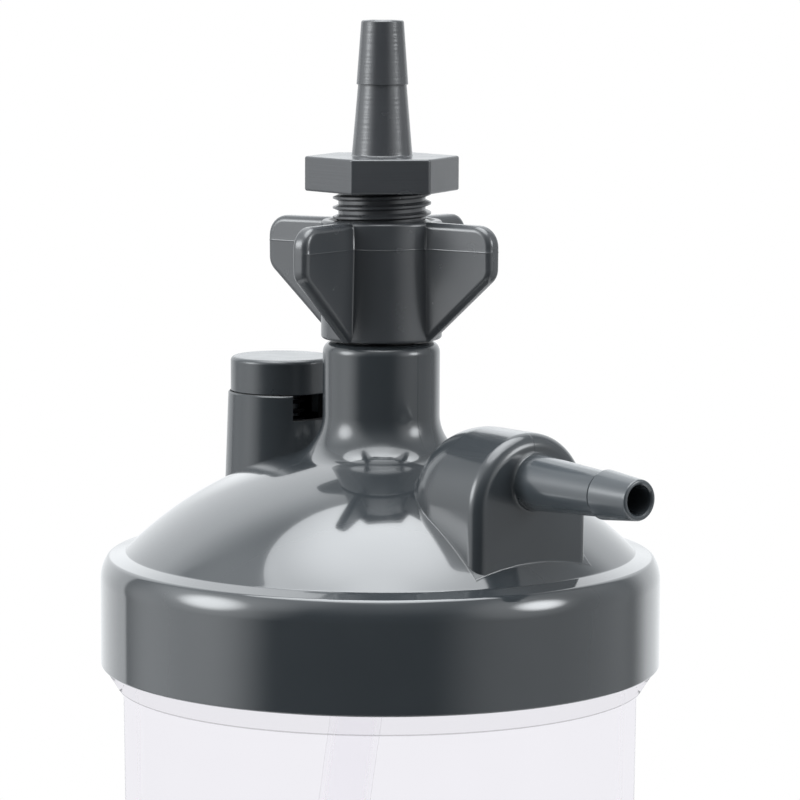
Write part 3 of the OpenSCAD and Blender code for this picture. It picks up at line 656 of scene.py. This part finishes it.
# %% The bottle
BOTTLE_R, BOTTLE_DRAFT, BOTTLE_WALL, FLOOR_T = 37.5, 1.1, 2.2, 2.4
FOOT_R, RECESS, RECESS_SLOPE, RING_W, RING_LIFT = 4.0, 0.8, 1, 2, 0.15
COLLAR_R, COLLAR_H, COLLAR_CONE, SKIRT_GAP, SPLIT_DROP = 39.9, 0.5, 3.8, 0.3, 3.1
COLLAR_ROUND, COLLAR_EDGE, LIP_ROUND = 0.6, 0.1, 0.4
LEVELS, LEVEL_OUT = (30.0, CAP_Z - 38.0), 0.3
LEVEL_BEAD = ((0, -2), (0.7, -0.8), (1, 0), (0.7, 0.8), (0, 2))
GASKET_T = 2.0
collar_top = CAP_Z - SKIRT_GAP
wall_top = collar_top - COLLAR_H - COLLAR_CONE
mouth_top = SEAT_Z - GASKET_T
base_r = BOTTLE_R - BOTTLE_DRAFT


def outer_wall():
    ring_r = base_r - FOOT_R - RING_W
    outline = [(0, RECESS), (ring_r - RECESS_SLOPE, RECESS), (ring_r, RING_LIFT)]
    outline += arc((base_r - FOOT_R, FOOT_R), FOOT_R, -90, 0, 12)
    for level in LEVELS:
        wall = base_r + BOTTLE_DRAFT * level / wall_top
        outline += [(wall + out * LEVEL_OUT, level + up * LEVEL_OUT) for out, up in LEVEL_BEAD]
    outline += [(BOTTLE_R, wall_top)]
    lean = math.degrees(math.atan2(COLLAR_R - BOTTLE_R, COLLAR_CONE))
    cone_mid = (COLLAR_R - COLLAR_ROUND, collar_top - COLLAR_H + COLLAR_EDGE)
    outline += arc(cone_mid, COLLAR_ROUND, -lean, 0, 8)
    edge_mid = (COLLAR_R - COLLAR_EDGE, collar_top - COLLAR_EDGE)
    return outline + arc(edge_mid, COLLAR_EDGE, 0, 90, 4)


def mouth_and_inside():
    inner = BOTTLE_R - BOTTLE_WALL
    foot_in = FOOT_R - BOTTLE_WALL
    lip_z = mouth_top - LIP_ROUND
    outline = [(MOUTH_R, collar_top)] + arc((MOUTH_R - LIP_ROUND, lip_z), LIP_ROUND, 0, 90, 4)
    outline += arc((inner + LIP_ROUND, lip_z), LIP_ROUND, 90, 180, 4) + [(inner, wall_top)]
    foot_mid = (base_r - BOTTLE_WALL - foot_in, FLOOR_T + foot_in)
    return outline + arc(foot_mid, foot_in, 0, -90, 8) + [(0, FLOOR_T)]


bottle_shell = turn("bottle_shell", outer_wall() + mouth_and_inside(), 320)
join(bottle_shell, ridge("mouth_ridge", MOUTH_R - CAP_RIDGE_GAP, MOUTH_R + CAP_RIDGE, RIDGE_ROOT,
                         RIDGE_CREST, CAP_PITCH, CAP_TURNS, CAP_RIDGE_Z + CAP_PITCH / 2))
tidy(bottle_shell)
soften(bottle_shell)
dress(bottle_shell, "bottle", "clear_plastic", "bottle")

# %% [markdown]
# ## The relief valve
# The lid closes the tower and guides the poppet. The spring is wound with the Screw modifier,
# from a round section of wire. A curve with a bevel would make a spring too, but its ends are
# harder to close. It shortens when the valve opens, and its upper end stays on the lid.

# %% The relief lid
LID_R, LID_H, LID_T, LID_EDGE, LID_CHAMFER = 7.73, 5.2, 2.0, 0.7, 0.15
PLUG_R, PLUG_WALL, PLUG_L = 6.08, 1.1, 3.0
GUIDE_R, GUIDE_WALL, GUIDE_ROOM, LIFT, STOP_GAP = 1.68, 1.0, 0.2, 2.0, 0.3
SEAL_T, POPPET_T = 1.0, 1.6
lid_top = tower_top + LID_H
ceiling = lid_top - LID_T
poppet_top = seat_top + SEAL_T + POPPET_T
guide_out, guide_low = GUIDE_R + GUIDE_WALL, poppet_top + LIFT + STOP_GAP
plug_in, plug_low = PLUG_R - PLUG_WALL, tower_top - PLUG_L

lid_line = [(GUIDE_R, ceiling), (GUIDE_R, guide_low), (guide_out, guide_low), (guide_out, ceiling),
            (plug_in, ceiling), (plug_in, plug_low), (PLUG_R, plug_low), (PLUG_R, tower_top),
            (LID_R - LID_CHAMFER, tower_top), (LID_R, tower_top + LID_CHAMFER)]
lid_line += arc((LID_R - LID_EDGE, lid_top - LID_EDGE), LID_EDGE, 0, 90, 8)
lid_line += [(0, lid_top), (0, ceiling), (GUIDE_R, ceiling)]
lid_shell = turn("lid_shell", lid_line, 128, tower_foot)
cut(lid_shell, wedge("lid_window", guide_out + GUIDE_ROOM, PLUG_R + BEYOND,
                     plug_low - BEYOND, tower_top))
tidy(lid_shell)
soften(lid_shell)
dress(lid_shell, "cap", "cap_plastic", "relief_lid")

# %% The relief spring
WIRE_R, COIL_R, COILS, COIL_STEPS = 0.3, 3.5, 6, 40


def coil():
    low, high = poppet_top + WIRE_R, ceiling - WIRE_R
    ring = arc((COIL_R, low), WIRE_R, 0, 360, 12)[:-1]
    piece = wind("valve_coil", ring, COILS, high - low, COIL_STEPS * COILS)
    fill_ends()
    piece.data.transform(Matrix.Translation(Vector(tower_foot) * MM))
    return soften(piece)


valve_coil = coil()
dress(valve_coil, "cap", "spring_steel", "relief_spring")
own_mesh(valve_coil)

# %% [markdown]
# ## Finishes
# Moulded plastic is never one flat colour. Its tone drifts a little with the flow of the melt,
# its gloss varies with the polish of the mould, and its skin has a faint peel. One node group
# makes these three from noise in the piece's own coordinates, and each plastic uses it with
# its own colour. Images could do the same, but would need a map for every piece.

# %% Tools for nodes
def node_of(tree, kind, **settings):
    """A new node with some of its settings made."""
    node = tree.nodes.new(kind)
    for name, value in settings.items():
        setattr(node, name, value)
    return node


def wire(tree, node, socket, value):
    """Joins a socket to another node's output, or gives it a plain value."""
    if isinstance(value, bpy.types.NodeSocket):
        tree.links.new(value, node.inputs[socket])
    else:
        node.inputs[socket].default_value = value


def maths(tree, operation, first, second=0.0):
    node = node_of(tree, "ShaderNodeMath", operation=operation)
    wire(tree, node, 0, first)
    wire(tree, node, 1, second)
    return node.outputs[0]


def ramp(tree, value, low, high, to_low=0.0, to_high=1.0, way="SMOOTHSTEP"):
    """A value moved from one span to another."""
    node = node_of(tree, "ShaderNodeMapRange", interpolation_type=way)
    spans = {"From Min": low, "From Max": high, "To Min": to_low, "To Max": to_high}
    for socket, number in spans.items():
        node.inputs[socket].default_value = number
    tree.links.new(value, node.inputs["Value"])
    return node.outputs["Result"]


def vectors(tree, operation, first, second, socket=1):
    node = node_of(tree, "ShaderNodeVectorMath", operation=operation)
    wire(tree, node, 0, first)
    wire(tree, node, socket, second)
    return node.outputs["Value" if operation == "DOT_PRODUCT" else "Vector"]


def scaled(tree, colour, scale):
    return vectors(tree, "SCALE", colour, scale, "Scale")


def noise(tree, place, scale, detail=2.0):
    node = node_of(tree, "ShaderNodeTexNoise")
    wire(tree, node, "Vector", place)
    wire(tree, node, "Scale", scale)
    wire(tree, node, "Detail", detail)
    return node.outputs["Fac"]


def bump(tree, height, distance, normal=None):
    node = node_of(tree, "ShaderNodeBump")
    wire(tree, node, "Distance", distance)
    wire(tree, node, "Height", height)
    if normal:
        wire(tree, node, "Normal", normal)
    return node.outputs[0]


# %% The skin of moulded plastic
DRIFT_SCALE, POLISH_SCALE, RING_SCALE, PEEL_SCALE = 60.0, 240.0, 2600.0, 900.0
SKIN_DEPTH = 0.1
SKIN_INPUTS = {"Colour": "Color", "Roughness": "Float", "Peel": "Float", "Rings": "Float",
               "Drift": "Float"}
SKIN_OUTPUTS = {"Colour": "Color", "Roughness": "Float", "Normal": "Vector"}


def moulded_skin():
    group = bpy.data.node_groups.new("moulded_skin", "ShaderNodeTree")
    for way, sockets in (("INPUT", SKIN_INPUTS), ("OUTPUT", SKIN_OUTPUTS)):
        for label, kind in sockets.items():
            group.interface.new_socket(label, in_out=way, socket_type="NodeSocket" + kind)
    given = group.nodes.new("NodeGroupInput").outputs
    made = group.nodes.new("NodeGroupOutput").inputs
    do = partial(maths, group)
    place = node_of(group, "ShaderNodeTexCoord").outputs["Object"]
    swing = ramp(group, noise(group, place, DRIFT_SCALE), 0.3, 0.7, -1.0, 1.0)
    drift = do("ADD", do("MULTIPLY", swing, given["Drift"]), 1.0)
    polish = ramp(group, noise(group, place, POLISH_SCALE, 4.0), 0.3, 0.7, 0.9, 1.1)
    flat = vectors(group, "MULTIPLY", place, (0.02, 0.02, 1.0))
    rings = do("MULTIPLY", noise(group, flat, RING_SCALE), given["Rings"])
    peel = do("MULTIPLY", noise(group, place, PEEL_SCALE), given["Peel"])
    relief = bump(group, do("ADD", rings, peel), SKIN_DEPTH * MM)
    group.links.new(scaled(group, given["Colour"], drift), made["Colour"])
    group.links.new(do("MULTIPLY", given["Roughness"], polish), made["Roughness"])
    group.links.new(relief, made["Normal"])
    return group


SKIN = moulded_skin()
print("skin group has", len(SKIN.nodes), "nodes")


def plastic(name, colour, roughness, peel=0.05, rings=0.0, drift=0.04, **plain):
    """A moulded plastic: the skin group feeds the shader, and plain values go on its sockets."""
    material = bpy.data.materials.new(name)
    material.use_nodes = True
    tree = material.node_tree
    shader = tree.nodes["Principled BSDF"]
    skin = node_of(tree, "ShaderNodeGroup", node_tree=SKIN)
    given = {"Colour": (*colour, 1), "Roughness": roughness, "Peel": peel, "Rings": rings,
             "Drift": drift}
    for socket, value in given.items():
        skin.inputs[socket].default_value = value
    tree.links.new(skin.outputs["Colour"], shader.inputs["Base Color"])
    tree.links.new(skin.outputs["Roughness"], shader.inputs["Roughness"])
    tree.links.new(skin.outputs["Normal"], shader.inputs["Normal"])
    for socket, value in plain.items():
        shader.inputs[socket.replace("_", " ")].default_value = value
    return material


# %% [markdown]
# The cap is glossy, with a clear layer that mirrors the lamps sharply over a softer body. Its
# neck, relief tower, housing and nozzle come from less polished parts of the mould, so the
# clear layer is weaker there. Separate materials per region would leave hard borders, so masks
# on Object coordinates blend them. The same masks paint shade into the tower's hollow, where
# the base colour is darkened, and paint light onto the outlet nozzle, whose base colour is
# made lighter. The mould also leaves a parting line up the neck, and the housing's foot is not
# quite sharp, which shows as a thin line of light.

# %% Masks for the cap
BLEND, TOWER_SKIN, NECK_REACH, ARCH_ROOM = 0.1, 0.2, 12.0, 0.08
SATIN_DULL, TOWER_DULL, SATIN_ROUGH = 0.55, 0.85, 0.1
# Roughness inside the tower, then how far painted shade darkens it, and how much painted light
# lightens the outlet nozzle.
DARK_ROUGH, PAINTED_SHADE_FALL, NOZZLE_PAINTED_LIGHT = 0.6, 0.9, 0.55
FOOT_ROUND, SEAM_RISE = 0.3, 0.03


def coordinates(tree):
    parts = node_of(tree, "ShaderNodeSeparateXYZ")
    tree.links.new(node_of(tree, "ShaderNodeTexCoord").outputs["Object"], parts.inputs[0])
    return parts.outputs


def in_plan(tree, ahead, aside):
    """Distance in plan that two legs make."""
    squares = [maths(tree, "MULTIPLY", leg, leg) for leg in (ahead, aside)]
    return maths(tree, "SQRT", maths(tree, "ADD", *squares))


def fed_by(shader, socket):
    return shader.inputs[socket].links[0].from_socket


def satin_zones(material):
    """Dulls the tower, housing, nozzle and neck; paints shade into the tower's inside and light
    onto the nozzle.
    """
    tree = material.node_tree
    shader = tree.nodes["Principled BSDF"]
    do, span = partial(maths, tree), partial(ramp, tree)
    x, y, z = coordinates(tree)

    def near(ahead, reach):
        return span(in_plan(tree, ahead, y), (reach - BLEND) * MM, (reach + BLEND) * MM, 1.0, 0.0)

    from_tower = do("ADD", x, TOWER_X * MM)
    tower_zone = near(from_tower, TOWER_R + TOWER_DRAFT)
    # Painted shade: inside the tower wall the base colour is darkened, standing in for the shadow
    # in its hollow and window.
    dark = near(from_tower, TOWER_R - TOWER_SKIN)
    neck_zone = do("MULTIPLY", near(x, NECK_REACH), span(z, (peak_z - 1) * MM, (peak_z + 1) * MM))
    behind = do("MINIMUM", do("SUBTRACT", x, back_x * MM), 0.0)
    behind_face = span(x, (FACE_X + 0.02) * MM, (FACE_X + 0.1) * MM, 1.0, 0.0)
    nozzle_high = span(z, (outlet_z - 6) * MM, (outlet_z - 5) * MM)
    above_rim = span(z, (RIM_TOP + 0.1) * MM, (RIM_TOP + 0.4) * MM)
    housing_zone = do("MULTIPLY", near(behind, ARCH_W + ARCH_ROOM), above_rim)
    housing_zone = do("MULTIPLY", housing_zone, do("MAXIMUM", behind_face, nozzle_high))
    satin_here = do("MAXIMUM", do("MAXIMUM", tower_zone, neck_zone), housing_zone)

    dull = do("MAXIMUM", do("MULTIPLY", tower_zone, TOWER_DULL), dark)
    dull = do("MAXIMUM", do("MULTIPLY", satin_here, SATIN_DULL), dull)
    tree.links.new(do("SUBTRACT", 1.0, dull), shader.inputs["Coat Weight"])
    rougher = do("ADD", do("MULTIPLY", satin_here, SATIN_ROUGH), do("MULTIPLY", dark, DARK_ROUGH))
    rough = do("ADD", fed_by(shader, "Roughness"), rougher)
    tree.links.new(rough, shader.inputs["Roughness"])
    # Painted light: the outlet nozzle's base colour is made lighter, standing in for the light it
    # catches.
    nozzle_light = span(x, (FACE_X + 1) * MM, (FACE_X + 3) * MM, 0.0, NOZZLE_PAINTED_LIGHT)
    tone = do("ADD", do("MULTIPLY", nozzle_light, nozzle_high), 1.0)
    # The tower's inside is darkened here: painted shade.
    tone = do("SUBTRACT", tone, do("MULTIPLY", dark, PAINTED_SHADE_FALL))
    hue = scaled(tree, fed_by(shader, "Base Color"), tone)
    tree.links.new(hue, shader.inputs["Base Color"])


def cap_lines(material):
    """Raises the parting line up the neck and rounds the housing's foot."""
    tree = material.node_tree
    shader = tree.nodes["Principled BSDF"]
    do, span = partial(maths, tree), partial(ramp, tree)
    x, y, z = coordinates(tree)
    seam = span(do("ABSOLUTE", y), 0.02 * MM, 0.09 * MM, 1.0, 0.0)
    seam = do("MULTIPLY", seam, span(z, peak_z * MM, (peak_z + 1) * MM))
    raised = bump(tree, seam, SEAM_RISE * MM, fed_by(shader, "Normal"))
    behind = do("MINIMUM", do("SUBTRACT", x, back_x * MM), 0.0)
    past_side = do("SUBTRACT", in_plan(tree, behind, y), ARCH_W * MM)
    outside = do("MAXIMUM", past_side, do("SUBTRACT", x, FACE_X * MM))
    foot = span(outside, 0.0, FOOT_ROUND * MM, 1.0, 0.0, "LINEAR")
    above_rim = span(z, (RIM_TOP + 0.1) * MM, (RIM_TOP + 0.4) * MM)
    foot = do("MULTIPLY", do("MULTIPLY", foot, foot), above_rim)
    rounded = bump(tree, foot, FOOT_ROUND / 2 * MM, raised)
    tree.links.new(rounded, shader.inputs["Normal"])


CAP_GREY, DENSE = (0.044, 0.051, 0.057), 1.65
cap_gloss = plastic("cap_gloss", CAP_GREY, 0.12, 0.02, IOR=DENSE, Coat_Weight=1.0,
                    Coat_Roughness=0.04)
satin_zones(cap_gloss)
cap_lines(cap_gloss)
print("cap material has", len(cap_gloss.node_tree.nodes), "nodes")

# %% [markdown]
# The bottle is clear with a breath of lavender. Light passes four skins on its way through the
# bottle, and a tint on all of them would be too deep, so only the outer skin has it. The
# bottle's mould is split at the collar, which leaves a fine dark line. A step in the mesh
# would show too, but a line this fine is simpler as a mask. Above the split, under the cap,
# the bottle is darkened as painted shade.

# %% The bottle's tint
# The second number is the painted shade on the bottle above the split, under the cap.
LINE_TINT, COLLAR_PAINTED_SHADE, SKIN_FROM, SKIN_TO = 0.42, 0.87, 0.8, 0.4


def outer_tint(material):
    """Keeps the bottle's tint to its outer skin, draws the mould's split line, paints shade under
    the cap.
    """
    tree = material.node_tree
    shader = tree.nodes["Principled BSDF"]
    do, span = partial(maths, tree), partial(ramp, tree)
    x, y, z = coordinates(tree)
    split_z = CAP_Z - SPLIT_DROP
    skin_from, skin_to = (base_r - SKIN_FROM) * MM, (base_r - SKIN_TO) * MM
    inside = span(in_plan(tree, x, y), skin_from, skin_to, 1.0, 0.0)
    off_line = do("ABSOLUTE", do("SUBTRACT", z, split_z * MM))
    line = span(off_line, 0.05 * MM, 0.18 * MM, LINE_TINT, 1.0)
    # Painted shade: above the split, under the cap, the bottle is darkened.
    collar = span(z, split_z * MM, (split_z + 0.2) * MM, 1.0, COLLAR_PAINTED_SHADE)
    tint = scaled(tree, fed_by(shader, "Base Color"), do("MULTIPLY", line, collar))
    tree.links.new(vectors(tree, "MAXIMUM", tint, inside), shader.inputs["Base Color"])


BOTTLE_TINT = (0.872, 0.862, 0.905)
clear = plastic("clear_bottle", BOTTLE_TINT, 0.08, 0.0, drift=0.006, IOR=1.01,
                Transmission_Weight=1.0)
outer_tint(clear)
print("bottle material has", len(clear.node_tree.nodes), "nodes")

# %% [markdown]
# The other plastics differ in colour and gloss only. The fittings are satin, the lid has a
# thin clear layer, and the hose adapter shows fine rings from the turning of its mould. The
# CAD pieces that were not remodelled hardly show, and get a finish in their own slots. The
# poppet and the spring inside the tower are near black: painted shade, which keeps the
# tower's window dark.

# %% Plastics on the pieces
FITTING_GREY, TURNED_GREY = (0.062, 0.067, 0.073), (0.066, 0.07, 0.076)
TUBE_TINT, MILKY, STONE = (0.984, 0.98, 0.989), (0.62, 0.62, 0.6), (0.55, 0.56, 0.58)
# The poppet's and the spring's near blacks on this line are painted shade, which keeps the tower's
# window dark.
POPPET_SHADE_BLACK, BLACK, SPRING_SHADE_BLACK = (0.012, 0.012, 0.013), (0.011, 0.011, 0.012), (0.006, 0.006, 0.007)
satin_lid = plastic("satin_lid", CAP_GREY, 0.3, 0.04, 0.06, IOR=DENSE, Coat_Weight=0.35,
                    Coat_Roughness=0.15)
satin = plastic("satin_fitting", FITTING_GREY, 0.25, 0.04, IOR=1.85)
turned_satin = plastic("turned_satin", TURNED_GREY, 0.25, 0.12, 0.25, IOR=1.86)
# Painted shade: the poppet is near black so the tower's window reads as shadow.
shade_black_plastic = plastic("shade_black_plastic", POPPET_SHADE_BLACK, 0.35)
rubber = plastic("black_rubber", BLACK, 0.6, 0.15)
silicone = plastic("milky_silicone", MILKY, 0.45, 0.08, Subsurface_Weight=0.3,
                   Subsurface_Scale=0.002)
tube = plastic("clear_tube", TUBE_TINT, 0.1, 0.0, drift=0.006, Transmission_Weight=1.0, IOR=1.08)
porous = plastic("porous_stone", STONE, 0.85, 0.8)
# Painted shade: the spring is near black so nothing lit shows through the tower's window.
steel = plastic("shade_black_steel", SPRING_SHADE_BLACK, 0.7, 0.02, IOR=1.02)

REMODELLED = ((cap_shell, cap_gloss), (lid_shell, satin_lid), (nut_shell, satin),
              (adapter_shell, turned_satin), (bottle_shell, clear), (valve_coil, steel))
for piece, material in REMODELLED:
    piece.data.materials.clear()
    piece.data.materials.append(material)
LEFT_SHOWING = {"cap_gasket": silicone, "inlet_stem": satin, "stem_o_ring": rubber,
                "seal_washer": silicone, "relief_poppet": shade_black_plastic, "relief_seal": rubber,
                "dip_tube": tube, "bubble_diffuser": porous}
for name, material in LEFT_SHOWING.items():
    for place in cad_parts[name].material_slots:
        place.material = material
print(len(bpy.data.materials), "materials,", len(LEFT_SHOWING), "CAD pieces dressed")

# %% [markdown]
# ## The studio
# The camera stands where the photographer's did: far away, a little above, with a long lens.

# %% Camera
VIEW_TURN = math.radians(51.7)
SENSOR, LENS, AWAY, RAISED = 36.0, 167.085, 535.33, 103.29 + CAP_Z
PITCH, YAW, ROLL = (math.radians(angle) for angle in (6.921, 0.292, 0.244))


def camera_frame():
    level = math.cos(PITCH)
    ahead = Vector((math.sin(YAW) * level, math.cos(YAW) * level, -math.sin(PITCH)))
    right = Vector((math.cos(YAW), -math.sin(YAW), 0))
    above = right.cross(ahead)
    rolled_right = right * math.cos(ROLL) + above * math.sin(ROLL)
    rolled_above = above * math.cos(ROLL) - right * math.sin(ROLL)
    turned = Matrix((rolled_right, rolled_above, -ahead)).transposed().to_4x4()
    stand = Matrix.Translation(Vector((0, -AWAY, RAISED)) * MM)
    return Matrix.Rotation(VIEW_TURN, 4, "Z") @ stand @ turned


start_afresh()
bpy.ops.object.camera_add()
camera = bpy.context.object
camera.name = "camera"
camera.matrix_world = camera_frame()
camera.data.sensor_width, camera.data.lens = SENSOR, LENS
camera.data.clip_start = 0.01
bpy.context.scene.camera = camera
print("camera at", [round(c, 4) for c in camera.location], "m")

# %% [markdown]
# One round softbox overhead is a real lamp and makes the bright panel on the dome. The rest of
# the studio is painted on the world as soft glows: a white backdrop behind, which shows in the
# cap's far rim, tall boxes at the sides with bright cores, and a faint ceiling. More lamps
# could do it too, but a glow can be as soft as one likes. The front stays dark, which gives
# dark plastic its depth. To the eye and through the bottle, the world is plain white.

# %% Lamp
AIM = Vector((0, 0, 0.15))
COOL = (0.95, 0.978, 1.0)
BOX_AWAY, BOX_W, BOX_RADIANCE = 0.7, 0.8, 2.8


def bearing(turn_right, rise):
    """Direction from the object, counted to the right from the camera and up, in degrees."""
    a, e = VIEW_TURN - math.pi / 2 + math.radians(turn_right), math.radians(rise)
    return Vector((math.cos(a) * math.cos(e), math.sin(a) * math.cos(e), math.sin(e)))


def round_softbox(name, turn_right, rise, distance, width, radiance):
    """A round area lamp that faces the object. Radiance 1 looks as bright as white paper."""
    start_afresh()
    way = bearing(turn_right, rise)
    facing = way.to_track_quat("Z", "Y").to_euler()
    bpy.ops.object.light_add(type="AREA", location=AIM + way * distance, rotation=facing)
    lamp = bpy.context.object
    lamp.name = lamp.data.name = name
    lamp.data.shape = "ELLIPSE"
    lamp.data.size = lamp.data.size_y = width
    lamp.data.energy = radiance * math.pi * width * width * math.pi / 4
    lamp.data.color = COOL
    lamp.visible_camera = False
    return lamp


top_box = round_softbox("top_box", 0, 90, BOX_AWAY, BOX_W, BOX_RADIANCE)
print("lamp of", round(top_box.data.energy, 2), "W")

# %% World and floor
# Each glow: turn to the right, rise, angle where it ends and where it is full, radiance.
GLOWS = {"backdrop": (186, 2, 64, 44, 0.95), "back_high": (-150, 32, 38, 5, 0.18),
         "back_core": (180, 16, 17, 4, 0.55), "ceiling": (0, 90, 80, 35, 0.38),
         "top_core": (180, 82, 25, 0, 2.2), "front_high": (0, 68, 20, 6, 1.2),
         "left_box": (-88, 0, 48, 3, 1.05), "left_high": (-75, 45, 45, 15, 0.6),
         "left_core": (-75, 19, 19, 1, 4.7), "left_tail": (-66, 17.5, 36, 8, 0.6),
         "right_box": (80, 0, 62, 30, 0.47), "right_core": (70, 19, 14, 1, 6.4),
         "right_tail": (62, 17.5, 30, 6, 0.5)}
BACKDROP_END, END_FROM, END_TO = -127, -0.02, 0.03
SHADE = 0.03


def studio_level(tree):
    """How bright the studio is in each direction: a faint shade and all the glows."""
    look = node_of(tree, "ShaderNodeTexCoord").outputs["Generated"]
    level = SHADE
    for name, (turn_right, rise, end, full, radiance) in GLOWS.items():
        toward = vectors(tree, "DOT_PRODUCT", look, bearing(turn_right, rise))
        end, full = math.cos(math.radians(end)), math.cos(math.radians(full))
        glow = ramp(tree, toward, end, full, 0.0, radiance)
        if name == "backdrop":
            past_end = vectors(tree, "DOT_PRODUCT", look, bearing(BACKDROP_END - 90, 0))
            glow = maths(tree, "MULTIPLY", glow, ramp(tree, past_end, END_FROM, END_TO))
        level = maths(tree, "ADD", glow, level)
    return level


def studio_world():
    world = bpy.data.worlds.new("studio")
    bpy.context.scene.world = world
    world.use_nodes = True
    tree = world.node_tree
    rays = node_of(tree, "ShaderNodeLightPath").outputs
    through = maths(tree, "GREATER_THAN", rays["Transmission Depth"], 0.5)
    pick = node_of(tree, "ShaderNodeMix", data_type="VECTOR")
    tree.links.new(maths(tree, "MAXIMUM", rays["Is Camera Ray"], through), pick.inputs[0])
    tree.links.new(scaled(tree, COOL, studio_level(tree)), pick.inputs[4])
    pick.inputs[5].default_value = (1, 1, 1)
    tree.links.new(pick.outputs[1], tree.nodes["Background"].inputs["Color"])
    print("studio world:", len(GLOWS), "glows")


studio_world()
start_afresh()
bpy.ops.mesh.primitive_circle_add(vertices=96, radius=0.2, fill_type="NGON")
floor = bpy.context.object
floor.name = "floor"
floor.data.materials.append(plastic("pale_floor", (0.7, 0.7, 0.7), 0.6, 0.0))
bpy.context.scene.view_settings.view_transform = "Standard"
